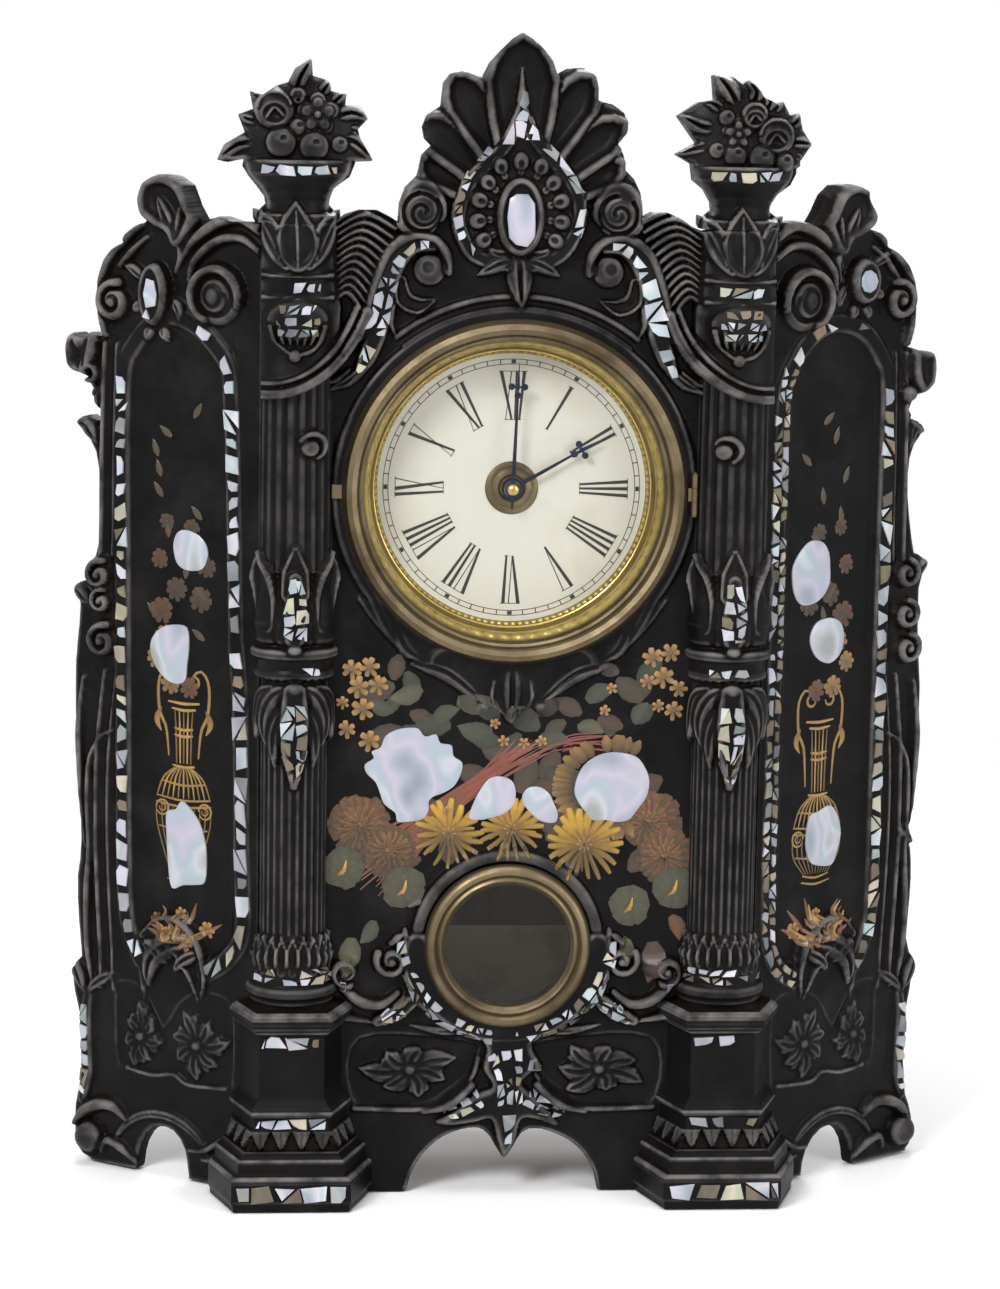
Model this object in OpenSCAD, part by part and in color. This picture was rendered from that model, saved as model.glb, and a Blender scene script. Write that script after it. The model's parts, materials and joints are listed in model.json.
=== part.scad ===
// Cast iron shelf clock with a bowed front, brass door, pendulum window and spring movement.
// +Z is up, the front faces -Y, and z = 0 is the shelf. Sizes are in millimetres.
// Depths are counted backwards from the front face of the flat field, unless a comment says otherwise.

/* [Front casting] */
// Wall thickness of the casting
front_t = 5; // [4:0.5:6]
// Angle by which each side wing turns back from the flat field
wing_angle = 33.5; // [28:0.5:38]
// Projection of the pedestals in front of the field
plinth_d = 28; // [25:0.5:32]
// Height of the pedestals
plinth_h = 95; // [90:1:100]
// Radius of the fluted column shafts
column_r = 15; // [14:0.5:16]
// Clear width between the door rim and a column, where the hinge stands
hinge_gap = 5; // [5:0.25:7]
// Height of the crest above the top of the door
crest_h = 124; // [118:1:130]
// Height of the shoulders above the top of the door
shoulder_h = 40; // [36:1:44]

/* [Door and dial] */
// Outer radius of the brass door rim
bezel_r = 76.5; // [72:0.5:80]
// Height of the dial centre above the shelf
dial_z = 319.5; // [314:0.5:326]
// Projection of the door rim in front of the field
bezel_h = 10; // [8:0.5:11]
// Thickness of the door and window glass
glass_t = 2; // [1.5:0.5:3]
// Depth of the dial face behind the field
dial_y = 17; // [16:0.5:19]
// Thickness of the dial plate
dial_t = 1; // [0.5:0.5:1.5]
// Length of the minute hand from the arbor to its tip
minute_len = 57; // [50:1:58]
// Length of the hour hand from the arbor to its tip
hour_len = 44; // [36:1:48]

/* [Pendulum window] */
// Outer radius of the brass window ring
window_r = 36.3; // [33:0.1:39]
// Height of the window centre above the shelf
window_z = 116; // [113:1:119]

/* [Wooden case] */
// Depth of the case behind the casting
case_d = 85; // [82:1:95]
// Thickness of the side, top and bottom boards
board_t = 9; // [7:0.5:11]
// Thickness of the back board
back_t = 6; // [4:0.5:9]
// Room between the movement and the top board
case_room = 8.5; // [6:0.5:12]
// Height of the bottom board above the shelf
bottom_z = 40; // [37:1:44]

/* [Movement] */
// Thickness of the movement plates
plate_t = 1.5; // [1:0.25:2.5]
// Clear distance between the movement plates
plate_gap = 30.5; // [30:0.5:33]
// Distance from the dial's back to the front plate
motion_gap = 12; // [11.5:0.5:14]
// Module of the great wheel
great_m = 0.9; // [0.85:0.01:0.95]
// Module of the centre and third wheels
train_m = 0.55; // [0.52:0.01:0.57]
// Radius of the escape wheel
escape_r = 15; // [13:0.5:16]
// Distance from the suspension to the middle of the bob
pendulum_len = 236; // [228:1:246]
// Radius of the pendulum bob
bob_r = 12; // [10:0.5:14]

/* [Hidden] */
$fn = 48;
run = 0.05; // radial clearance of a pivot in its hole
gap = 0.3;  // clearance between pieces that lie beside each other
eps = 0.01; // overlap that joins two shapes of one piece
pearl_t = 0.8;

// Plan of the case: everything across the front follows the door's radius
column_x = bezel_r + hinge_gap + column_r;
field_x = column_x + column_r + 0.5; // root of the wings
case_x = field_x - 4;                // outside of the case sides
inner_x = case_x - board_t;          // inside of the case sides
total_d = plinth_d + 2 + pearl_t + front_t + case_d + back_t;
face_y = -total_d / 2 + plinth_d + 2 + pearl_t; // the field's front face
case_y = face_y + front_t;            // front of the wooden case
back_y = case_y + case_d;             // front of the back board

// Heights that follow the door
door_top = dial_z + bezel_r;
door_bottom = dial_z - bezel_r;
shoulder_z = door_top + shoulder_h;
crest_z = door_top + crest_h;
band_z = door_bottom - 1; // band below each capital
neck_z = door_top + 10;   // band at the top of each column
crest_foot = door_top + 4;
opening_r = bezel_r - 8.5; // hole in the field behind the door
lip_r = bezel_r - 9.5;     // inner lip of the door rim
sight_r = bezel_r - 16.5;  // where the sight ring meets the dial

// Depths in the movement, from the front face of the field
dial_back = dial_y + dial_t;
plate_f = dial_back + motion_gap; // front plate
plate_fb = plate_f + plate_t;
plate_b = plate_fb + plate_gap;   // back plate
plate_bb = plate_b + plate_t;
great_y = plate_b - 6;
pend_y = plate_bb + 8.5;

// Train: teeth, leaves and centres, measured from the centre arbor in x and z
great_n = 72;
wheel_n = 80;
leaf_n = 8;
escape_n = 37;
great_c = great_m * (great_n + leaf_n) / 2;
train_c = train_m * (wheel_n + leaf_n) / 2;
great_at = great_c * [-0.611, -sqrt(1 - 0.611 * 0.611)];
verge_h = 60;
anchor_half = 9.5 * 180 / escape_n; // half the angle that the anchor spans
escape_at = [0, verge_h - escape_r / cos(anchor_half) - 0.05];
third_at = [sqrt(train_c * train_c - escape_at[1] * escape_at[1] / 4), escape_at[1] / 2];
motion_m = 0.5;
hour_m = 0.48;
cannon_n = 12;
minute_n = 36;
pinion_n = 10;
hour_n = 40;
motion_c = motion_m * (cannon_n + minute_n) / 2;
pivot_r = 0.8;
arbor_r = 1.5;
cannon_r = 2.2;
pipe_r = 3.6;
hour_angle = 60.2; // clockwise from twelve, at two o'clock
minute_angle = 2;
suspension_z = dial_z + verge_h;
bob_z = suspension_z - pendulum_len;
stud_x = 36; // movement screws
rail_low = -great_c * 0.792 - great_m * great_n / 2 - 17; // from the centre arbor down to the lower rail's foot
rail_h = 13;
rail_high = verge_h + 8;
case_h = dial_z + rail_high + rail_h + case_room + board_t; // top of the case above the shelf

// Placing.
// Flat shapes drawn as (x, z) and pushed out of the field: from "from" to "to" in front of its face.
module relief(from, to)
    translate([0, face_y - from, 0]) rotate([90, 0, 0]) linear_extrude(to - from) children();

// A body of revolution about an axis along Y through (x, z). Its profile is (radius, depth behind the face).
module turned(x, z)
    translate([x, face_y, z]) rotate([-90, 0, 0]) rotate_extrude() children();

// A straight bar along Y through (x, z), from one depth to another.
module bar_y(x, z, y0, y1, r)
    translate([x, face_y + y0, z]) rotate([-90, 0, 0]) cylinder(r = r, h = y1 - y0);

// A plate along Y whose outline is drawn as (x, z) about the centre arbor.
module sheet_y(y0, y1)
    translate([0, face_y + y1, dial_z]) rotate([90, 0, 0]) linear_extrude(y1 - y0) children();

module both_sides() {
    children();
    mirror([1, 0, 0]) children();
}

// The frame of the right wing: x runs outwards along the wing and -y stands out of its face.
module on_wing() translate([field_x, face_y, 0]) rotate([0, 0, wing_angle]) children();
module wing_relief(from, to) on_wing() translate([0, -from, 0]) rotate([90, 0, 0]) linear_extrude(to - from) children();

// Flat ornament.
// A pointed petal that stands on the origin and points up.
module petal(length, width, fat = 1) {
    function side(i) = [width / 2 * sin(180 * pow(i / 7, fat)), length * i / 7];
    polygon([for (i = [0:7]) side(i), for (i = [6:-1:1]) [-side(i)[0], side(i)[1]]]);
}

module oval(rx, ry) polygon([for (i = [0:15]) [rx * cos(22.5 * i + 11.25), ry * sin(22.5 * i + 11.25)]]);

// A spiral band of given turns; it starts at radius r0 and ends at r1.
module volute(r0, r1, turns, width, hand = 1) {
    n = round(turns * 12);
    function r(i) = r0 + (r1 - r0) * i / n;
    function at(i, q) = q * [hand * cos(360 * turns * i / n + 4), sin(360 * turns * i / n + 4)];
    polygon([for (i = [0:n]) at(i, r(i)), for (i = [n:-1:0]) at(i, r(i) - min(width * (1 - 0.4 * i / n), 0.7 * r(i)))]);
}

// An arc-shaped band between two angles.
module arc_band(r, width, a0, a1) {
    n = ceil(abs(a1 - a0) / 8);
    function ring(q) = [for (i = [0:n]) let (a = a0 + (a1 - a0) * i / n) q * [cos(a), sin(a)]];
    inner = ring(r - width / 2);
    polygon(concat(ring(r + width / 2), [for (i = [n:-1:0]) inner[i]]));
}

// Four leaves round a button, as on the panels of the base.
module rosette(w, h) {
    for (sx = [-1, 1], sz = [-1, 1])
        rotate(sx * sz * atan2(h, w)) rotate(sx > 0 ? -90 : 90) petal(norm([w, h]) / 2, h * 0.36);
    oval(h * 0.16, h * 0.16);
}

// Wing outline, as (distance along the wing, height)
foot_arch = [[67, 0], [64, 13], [58, 20], [51, 22], [44, 17], [40, 8], [38, 0]];
wing_edge = [[105, 12], [104, 26], [100, 36], [97, 48], [100, 63], [103, 78], [104, 90], [100, 92],
    [100, 130], [102, 150], [99, 160], [101, 195], [102, 216], [99, 245], [99, 266], [102, 277], [96, 277],
    [93, 285], [91, 300], [89, 315], [90, 328], [94, 337], [98, 344], [90, 345], [89, 352], [92, 361],
    [97, 364], [101, 370], [101, 378], [97, 384], [90, 380], [86, 385]];
wing_top = [[87, 400], [85, 414], [80, 422], [71, 427], [67, 433], [62, 437], [63, 444], [60, 452], [53, 456],
    [46, 456], [38, 451], [33, 443], [30, 436], [21, 439], [10, 440], [-eps, 438]];
wing_rise = shoulder_z - 436; // the wing's upper part moves with the shoulders
wing_w = 105;

module wing_outline()
    polygon(concat([[-eps, 0]], [for (i = [6:-1:0]) foot_arch[i]], [[92, 0], [102, 4]], wing_edge,
        [for (p = wing_top) p + [0, wing_rise]]));

// The arched panel of a wing, set in from its border.
panel_u = 48;
panel_w = 62;
panel_z0 = plinth_h + 20;
panel_top = 386;
border_out = 5; // how far the panel's border reaches round it
module panel(inset) {
    w = panel_w / 2 - inset;
    top = panel_top + wing_rise - inset - w;
    foot = panel_z0 + inset;
    translate([panel_u, 0])
        polygon([for (a = [0:15:180]) [w * cos(a), top + w * sin(a)], [-w, foot + 10], [-w + 10, foot], [w - 10, foot], [w, foot + 10]]);
}

// The casting.
// Half of the opening between the feet, from the shelf up to the pendant's tip.
arch_half = [[44, -1], [44, 0], [42, 7], [38, 13], [32, 20], [24, 25], [14, 28], [8, 27], [3, 22], [0, 14]];
foot_z = crest_foot + 40; // where the petals of the crest spring from

module field_outline()
    difference() {
        union() {
            translate([-field_x, 0]) square([2 * field_x, neck_z + 32]);
            for (s = [-1, 1]) {
                translate([s * 43, crest_foot + 46]) oval(12, 12);
                translate([s * 66, shoulder_z - 14]) oval(17, 20);
            }
            polygon([[-50, shoulder_z - 20], [-52, crest_foot + 48], [-38, crest_foot + 66], [0, crest_foot + 92],
                [38, crest_foot + 66], [52, crest_foot + 48], [50, shoulder_z - 20]]);
        }
        polygon([for (p = arch_half) p, for (i = [8:-1:0]) [-arch_half[i][0], arch_half[i][1]]]);
        translate([0, dial_z]) circle(opening_r);
        translate([0, window_z]) circle(window_r - 5);
    }

// Half of a shape that stands out of the field at a column, drawn in plan about the column's axis.
module half_plan(r, z0, h)
    translate([column_x, face_y, z0]) linear_extrude(h) difference() {
        children();
        translate([-2 * r, 0]) square([4 * r, 2 * r]);
    }

module shaft(r, z0, h)
    half_plan(r, z0, h) difference() {
        circle(r);
        for (a = [-160:20:-20]) rotate(a) translate([r + 0.9, 0]) circle(2);
    }

module half_turned(z0)
    translate([column_x, face_y, z0]) rotate([0, 0, 180]) rotate_extrude(angle = 180) children();

module column() {
    base_z = plinth_h + 26;
    shaft(column_r + 2, base_z, band_z - base_z + 1);
    shaft(column_r, band_z + 36, neck_z - band_z - 36 + 1);
    // torus and leaf row at the foot
    half_turned(plinth_h - 1) polygon([[0, 0], [20.5, 0], [21.5, 4], [20.5, 7], [17, 8], [16.5, 10], [18, 15],
        [18.5, 23], [17.5, 28], [0, 28]]);
    // band and tulip capital
    half_turned(band_z - 1) polygon([[0, 0], [18, 0], [18, 7], [15.5, 8], [17.4, 11], [19, 21], [18, 33], [17.4, 39],
        [20.5, 49], [16.5, 47], [15.5, 41], [0, 41]]);
    // bands and cup below the finial
    half_turned(neck_z - 2) polygon([[0, 0], [15.7, 0], [15.7, 7], [13.5, 8], [15.5, 12], [16.5, 24], [16, 34], [0, 34]]);
    half_turned(neck_z - 30) polygon([[0, 0], [15.3, 4], [17.5, 14], [16.5, 24], [14.5, 29], [0, 29]]);
    // hanging leaf below the band
    translate([column_x, 0]) relief(-1, column_r + 5) translate([0, band_z - 48]) petal(50, 20);
    translate([column_x, 0]) relief(-1, column_r + 3) translate([0, dial_z + 23]) oval(5, 5);
}

// Plan of a pedestal course: half widths of its front face and of its body, and its projection.
module course(z0, z1, face_w, body_w, out)
    translate([column_x, face_y, z0]) linear_extrude(z1 - z0)
        polygon([[-body_w, 0], [-body_w, -out + (body_w - face_w)], [-face_w, -out], [face_w, -out],
            [body_w, -out + (body_w - face_w)], [body_w, (body_w + column_x - field_x) * tan(wing_angle) + 1.5],
            [field_x - column_x, 2]]);

module pedestal()
    difference() {
        union() {
            course(0, 22, 25, 33, plinth_d + 2);
            course(21, 30, 22, 30, plinth_d);
            course(29, 43, 19, 26, plinth_d - 3);
            course(42, 48, 18, 26.5, plinth_d - 1);
            course(47, plinth_h - 15, 15, 22, plinth_d - 6);
            course(plinth_h - 16, plinth_h - 8, 18, 26, plinth_d - 3);
            course(plinth_h - 9, plinth_h, 20, 28, plinth_d);
        }
        // the casting is hollow behind
        translate([column_x, face_y, -1]) linear_extrude(plinth_h - 5)
            polygon([[-15, front_t], [-15, -plinth_d + 17], [-10, -plinth_d + 12], [10, -plinth_d + 12],
                [15, -plinth_d + 17], [15, front_t + 1], [-15, front_t + 1]]);
    }

module base_leaves()
    for (k = [-1.5:1:1.5])
        translate([column_x + k * 9, 0]) relief(plinth_d - 5, plinth_d - 1.5) translate([0, 41]) mirror([0, 1]) petal(11, 7);

// Reliefs start inside the wall, so that each one is fused with it.
root = -2;
// Heights of the reliefs that carry pearl, and the collar's radius
border_h = 3;
collar_h = 4;
shield_h = 5;
arch_h = 7.4;
collar_r = window_r + 7;

module middle_ornament() {
    // lower band with two leaf panels
    for (s = [-1, 1]) {
        relief(root, 2) translate([s * 41, 62]) difference() {
            square([46, 30], center = true);
            square([42, 26], center = true);
        }
        relief(root - 0.5, 3.5) translate([s * 41, 62]) rosette(38, 22);
    }
    // collar round the window with a pendant below
    relief(root - 0.5, collar_h) difference() {
        union() {
            translate([0, window_z]) circle(collar_r);
            polygon([[-8, 77], [-12, 66], [-26, 48], [-22, 44], [-9, 48], [-7, 30], [0, 15], [7, 30], [9, 48],
                [22, 44], [26, 48], [12, 66], [8, 77]]);
        }
        translate([0, window_z]) circle(window_r - 5);
    }
    // scrolls beside the window
    for (s = [-1, 1]) {
        relief(root - 0.25, 6) difference() {
            translate([s * (column_x - 37), window_z - 1]) arc_band(22, 5, s > 0 ? 180 : 220, s > 0 ? 320 : 360);
            translate([0, window_z]) circle(collar_r);
        }
        relief(root + 0.25, 7) translate([s * (window_r + 17), window_z - 3]) volute(7, 1.5, 1.4, 3, s);
        relief(root + 0.25, 7) translate([s * (window_r + 37), window_z - 14]) volute(6, 1.5, 1.4, 3, -s);
    }
    // bracket below the door
    relief(root, 4) difference() {
        polygon([[-60, door_bottom + 30], [-56, door_bottom + 4], [-22, door_bottom - 4], [-13, door_bottom - 14],
            [-4, door_bottom - 13], [0, door_bottom - 22], [4, door_bottom - 13], [13, door_bottom - 14],
            [22, door_bottom - 4], [56, door_bottom + 4], [60, door_bottom + 30]]);
        translate([0, dial_z]) circle(bezel_r + 1);
    }
}

// A rimmed petal of the crest, through the whole wall: angle, length from the foot, width and height of its rim.
module crest_petal(k) {
    difference() {
        relief(-front_t, k[3]) translate([0, foot_z]) rotate(-k[0]) translate([0, 20]) petal(k[1] - 20, k[2], 1.5);
        relief(2, k[3] + 1) translate([0, foot_z]) rotate(-k[0]) translate([0, 22]) petal(k[1] - 25.5, k[2] - 5.5, 1.5);
    }
}

module crest_ornament() {
    more = crest_h - 124;
    crest_petal([0, crest_z - foot_z, 40, 7]);
    for (s = [-1, 1], k = [[26, 70, 28, 6], [46, 65, 25, 5.5], [66, 56, 18, 5]])
        crest_petal([s * k[0], k[1] + more, k[2], k[3]]);
    // pointed shield with an oval boss
    relief(root, shield_h) translate([0, crest_foot + 36]) oval(29, 29);
    relief(root + 0.25, arch_h) polygon([[-24, crest_foot + 50], [-8, crest_foot + 76], [0, crest_foot + 100],
        [8, crest_foot + 76], [24, crest_foot + 50], [0, crest_foot + 40]]);
    relief(4, 8) for (a = [-150:30:150]) translate([0, crest_foot + 36]) rotate(a) translate([0, 11]) petal(11, 7);
    relief(4, 10) translate([0, crest_foot + 36]) oval(12, 17);
    // hanging leaf and side leaves
    relief(root + 0.5, 6) translate([0, crest_foot]) petal(22, 9);
    for (s = [-1, 1]) {
        relief(root + 0.5, shield_h - 0.2) translate([s * 6, crest_foot + 8]) rotate(-s * 75) petal(26, 9);
        // ears, shoulder scrolls and the beaded strands above the door
        relief(root - 1, 9) translate([s * 43, crest_foot + 46]) volute(12, 2, 1.6, 4.5, s);
        relief(root - 0.75, 8) translate([s * 36, crest_foot + 18]) volute(10, 2, 1.6, 4.5, -s);
        relief(root - 0.5, 7) translate([s * 78, shoulder_z - 12]) for (a = [0:13:104])
            rotate(s > 0 ? 90 + a : 90 - a) translate([14, 0]) square([20, 3], center = true);
        relief(root - 0.25, 6.5) translate([s * 43, door_top + 11]) rotate(s * 32)
            arc_band(30, 8, s > 0 ? -70 : 180, s > 0 ? 0 : 250);
    }
}

module wing_ornament() {
    // border of the panel
    wing_relief(root, border_h) difference() {
        panel(-border_out);
        panel(1);
    }
    // scrolls, knob and oval at the top
    top = 403 + wing_rise;
    wing_relief(root - 1, 10) translate([76, top - 2]) volute(13, 2, 1.7, 5, 1);
    wing_relief(root - 0.75, 10.5) translate([24, top - 1]) volute(15, 2, 1.7, 5.5, -1);
    wing_relief(root - 0.5, 9) translate([47, top + 14]) petal(37, 26);
    wing_relief(root - 0.25, 11) translate([51, top]) oval(8, 15);
    wing_relief(root + 0.25, 6) for (a = [-60, -35, 35, 60]) translate([49, top + 4]) rotate(a) translate([0, 6]) petal(26, 11);
    // buds and leaves along the outer edge
    wing_relief(root - 1, 9) difference() {
        for (k = [[88, 372, 8], [87, 281, 9], [86, 262, 8]]) translate([k[0], k[1]]) oval(k[2], k[2]);
        panel(-border_out - 0.1);
    }
    wing_relief(root + 0.25, 5) for (z = [[150, 90], [96, 50], [300, 44]]) translate([92, z[0]]) petal(z[1], 9);
    // swag, leaf panel and foot scroll
    wing_relief(root + 0.5, 6) translate([panel_u, plinth_h + 15]) oval(17, 9);
    wing_relief(root + 0.25, 4) translate([panel_u, plinth_h - 9]) petal(24, 20);
    wing_relief(root + 0.5, 3.5) translate([panel_u + 2, 62]) rosette(44, 30);
    wing_relief(root - 1, 9) translate([87, 19]) oval(11, 11);
    wing_relief(root, 4) translate([52, 0]) arc_band(29, 5, 20, 160);
}

// Holes for the screws that hold the casting to the battens.
screw_z = [plinth_h + 15, band_z + 25, neck_z - 12];
module front_screw_holes()
    for (s = [-1, 1], z = screw_z)
        bar_y(s * (inner_x - 6), z, -6, front_t + 1, 2 + run);

module iron_front() color([0.09, 0.09, 0.1]) difference() {
    union() {
        translate([0, face_y + front_t, 0]) rotate([90, 0, 0]) linear_extrude(front_t) field_outline();
        middle_ornament();
        crest_ornament();
        both_sides() {
            column();
            pedestal();
            base_leaves();
            on_wing() translate([0, front_t, 0]) rotate([90, 0, 0]) linear_extrude(front_t) wing_outline();
            wing_ornament();
        }
    }
    front_screw_holes();
    for (a = dial_post_angles) post_at(a) bar_y(0, 0, 1.5, front_t + 1, 1.2 + run);
    // dowel holes for the finials
    both_sides() translate([column_x, face_y - 3, neck_z + 20]) cylinder(r = 2.5 + run, h = 20);
}

// Finials: a basket of fruit on a bell-shaped neck
fruit = [[-15, 3, 5.5], [-4, 2, 6.5], [8, 1, 6.5], [18, 4, 5], [-13, 14, 6.5], [-1, 13, 6], [11, 13, 7], [-7, 24, 6.5], [6, 25, 6]];
module finial(s) {
    rim_z = neck_z + 57;
    translate([s * column_x, face_y, 0]) {
        // dowel, neck and basket: half round in front, with a flat back
        translate([0, -3, neck_z + 22]) cylinder(r = 2.5, h = 12);
        intersection() {
            translate([0, 0, neck_z + 32 + gap]) rotate_extrude()
                polygon([[0, 0], [15, 0], [14, 6], [12, 10], [12.5, 14], [17, 20], [21, 22], [22, 25], [22, 31], [0, 31]]);
            translate([-30, -30, neck_z]) cube([60, 30 + front_t, 100]);
        }
        for (f = fruit) translate([f[0], -4, rim_z + 6 + f[1]]) sphere(r = f[2], $fn = 12);
        // leaves round the fruit
        translate([0, 2, rim_z + 3]) rotate([90, 0, 0]) linear_extrude(6) {
            for (k = [[-98, 34, 12], [-70, 30, 11], [-44, 34, 11], [44, 32, 11], [70, 32, 11], [98, 33, 12], [-22, 34, 10], [20, 34, 10]])
                rotate(k[0]) petal(k[1], k[2]);
            translate([0, 6]) rotate(s * 8) petal(39, 11);
            translate([-20, -3]) square([40, 24]);
        }
    }
}
module finial_left() color([0.1, 0.1, 0.11]) finial(-1);
module finial_right() color([0.1, 0.1, 0.11]) finial(1);

// Mother of pearl.
// An irregular shard about the origin; "seed" picks its outline.
module shard(w, h, seed) {
    k = rands(0.72, 1, 6, seed);
    polygon([for (i = [0:5]) k[i] * [w / 2 * cos(60 * i + 20 * k[5 - i]), h / 2 * sin(60 * i + 20 * k[5 - i])]]);
}

module pearl_plaques() color([0.82, 0.84, 0.9]) {
    for (k = [[-46, 211, 38, 36, 3], [42, 205, 33, 32, 7], [-13, 194, 18, 15, 11], [12, 191, 13, 15, 15]])
        relief(0, pearl_t) translate([k[0], k[1] - 2]) shard(k[2], k[3], k[4]);
    both_sides() for (k = [[46, 294, 18, 22, 4], [50, 254, 20, 20, 8], [47, 166, 19, 34, 12]])
        wing_relief(0, pearl_t) translate([k[0], k[1]]) shard(k[2], k[3], k[4]);
    relief(10, 10 + 1.5) translate([0, crest_foot + 36]) oval(7, 11);
}

// Chips in a row between two points, about one for each "step".
module chip_row(a, b, w, step, seed) {
    n = max(1, round(norm(b - a) / step));
    for (i = [0:n - 1])
        translate(a + (b - a) * (i + 0.5) / n) rotate(atan2(b[1] - a[1], b[0] - a[0]))
            shard(norm(b - a) / n * 0.86, w, seed + i);
}

module pearl_chips() color([0.78, 0.8, 0.82]) {
    side = panel_w / 2 + 2;
    z0 = panel_z0 + 16;
    z1 = panel_top + wing_rise - panel_w / 2;
    both_sides() {
        // down both sides of each wing panel
        wing_relief(border_h, border_h + pearl_t) {
            chip_row([panel_u - side, z1], [panel_u - side, z0], 4.6, 9.5, 20);
            chip_row([panel_u + side, z1], [panel_u + side, z0], 4.6, 9.5, 60);
        }
        // bands of each pedestal
        translate([column_x, 0]) {
            relief(plinth_d + 2, plinth_d + 2 + pearl_t) chip_row([-24, 11], [24, 11], 8, 11, 100);
            relief(plinth_d - 1, plinth_d - 1 + pearl_t) chip_row([-17, 45.5], [17, 45.5], 4, 8, 110);
            relief(plinth_d - 3, plinth_d - 3 + pearl_t) chip_row([-17, plinth_h - 11.5], [17, plinth_h - 11.5], 5, 8, 120);
        }
        // strand beside the window
        relief(collar_h, collar_h + pearl_t) translate([0, window_z]) for (i = [0:6])
            rotate(-82 + i * 16) translate([(window_r + collar_r) / 2, 0]) rotate(90) shard(8.6, 5.6, 130 + i);
    }
    // pendant and the pointed shield
    relief(collar_h, collar_h + pearl_t) {
        chip_row([0, 70], [0, 22], 6, 8, 150);
        for (s = [-1, 1]) chip_row([s * 8, 60], [s * 22, 48], 4, 6, 160 + s);
    }
    relief(arch_h, arch_h + pearl_t) for (s = [-1, 1])
        chip_row([s * 3.4, crest_foot + 88], [s * 18, crest_foot + 60], 3.6, 7, 170 + 5 * s);
    relief(shield_h, shield_h + pearl_t) translate([0, crest_foot + 36]) for (s = [-1, 1], i = [1:5])
        rotate(90 - s * (58 + 16 * i)) translate([25.8, 0]) rotate(90) shard(6.4, 3.6, 180 + i + s);
}

// Door.
hinge_y = -5;
hinge_x = bezel_r + 2.8;
hinge_h = 18;
knuckle_r = 1.6;
pin_r = 0.8;
catch_h = 6;

module door_rim() color([0.5, 0.42, 0.26]) turned(0, dial_z)
    polygon([[bezel_r - 1, -gap], [bezel_r, -2], [bezel_r - 0.4, -5], [bezel_r - 2.2, -bezel_h + 1.4], [bezel_r - 4.5, -bezel_h],
        [bezel_r - 6.6, -bezel_h + 1], [bezel_r - 7.6, -bezel_h + 3], [lip_r + 1, -bezel_h + 2.6], [lip_r, -bezel_h + 3.4],
        [lip_r, -bezel_h + 4.4], [lip_r + 3, -bezel_h + 4.8], [lip_r + 3, -gap]]);
glass_y = -bezel_h + 4.8 + 0.1;
module door_glass() color([0.8, 0.85, 0.85, 0.3])
    bar_y(0, dial_z, glass_y, glass_y + glass_t, lip_r + 2.9);
module door_glass_ring() color([0.5, 0.42, 0.26]) turned(0, dial_z)
    polygon([[lip_r - 0.5, glass_y + glass_t + 0.1], [lip_r + 2.9, glass_y + glass_t + 0.1], [lip_r + 2.9, -gap - 0.4],
        [lip_r + 1.6, -gap - 0.4]]);

// Knuckles between two heights, round the hinge pin.
module knuckle(z0, z1) difference() {
    translate([hinge_x, face_y + hinge_y, z0]) cylinder(r = knuckle_r, h = z1 - z0);
    translate([hinge_x, face_y + hinge_y, z0 - 1]) cylinder(r = pin_r + run, h = z1 - z0 + 2);
}
module door_hinge_leaf() color([0.42, 0.34, 0.22]) {
    z0 = dial_z - hinge_h / 6 + 0.1;
    z1 = dial_z + hinge_h / 6 - 0.1;
    knuckle(z0, z1);
    difference() {
        translate([bezel_r - 0.3, face_y + hinge_y - 0.8, z0]) cube([hinge_x - bezel_r, 1.6, z1 - z0]);
        translate([hinge_x, face_y + hinge_y, z0 - 1]) cylinder(r = pin_r + run, h = hinge_h);
        bar_y(0, dial_z, -bezel_h - 1, 0, bezel_r - 0.12);
    }
}
module case_hinge_leaf() color([0.42, 0.34, 0.22])
    for (s = [-1, 1]) {
        z0 = s < 0 ? dial_z - hinge_h / 2 : dial_z + hinge_h / 6 + 0.1;
        z1 = z0 + hinge_h / 3 - 0.1;
        knuckle(z0, z1);
        difference() {
            translate([hinge_x - 0.9, face_y + hinge_y, z0]) cube([2.4, -hinge_y, z1 - z0]);
            translate([hinge_x, face_y + hinge_y, z0 - 1]) cylinder(r = pin_r + run, h = hinge_h);
        }
    }
module hinge_pin() color([0.55, 0.5, 0.4]) translate([hinge_x, face_y + hinge_y, dial_z - hinge_h / 2 - 0.8]) {
    cylinder(r = pin_r, h = hinge_h + 1.6);
    cylinder(r = pin_r + 0.5, h = 0.75);
}
module door_catch() color([0.6, 0.5, 0.3])
    translate([-bezel_r - 4, face_y - 5, dial_z - catch_h / 2]) cube([4.2, 1.2, catch_h]);
module catch_keeper() color([0.5, 0.45, 0.35])
    translate([-bezel_r - 4.2, face_y - 5 + 1.2 + gap, dial_z - catch_h / 2]) cube([3, 5 - 1.2 - gap, catch_h]);

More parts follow.
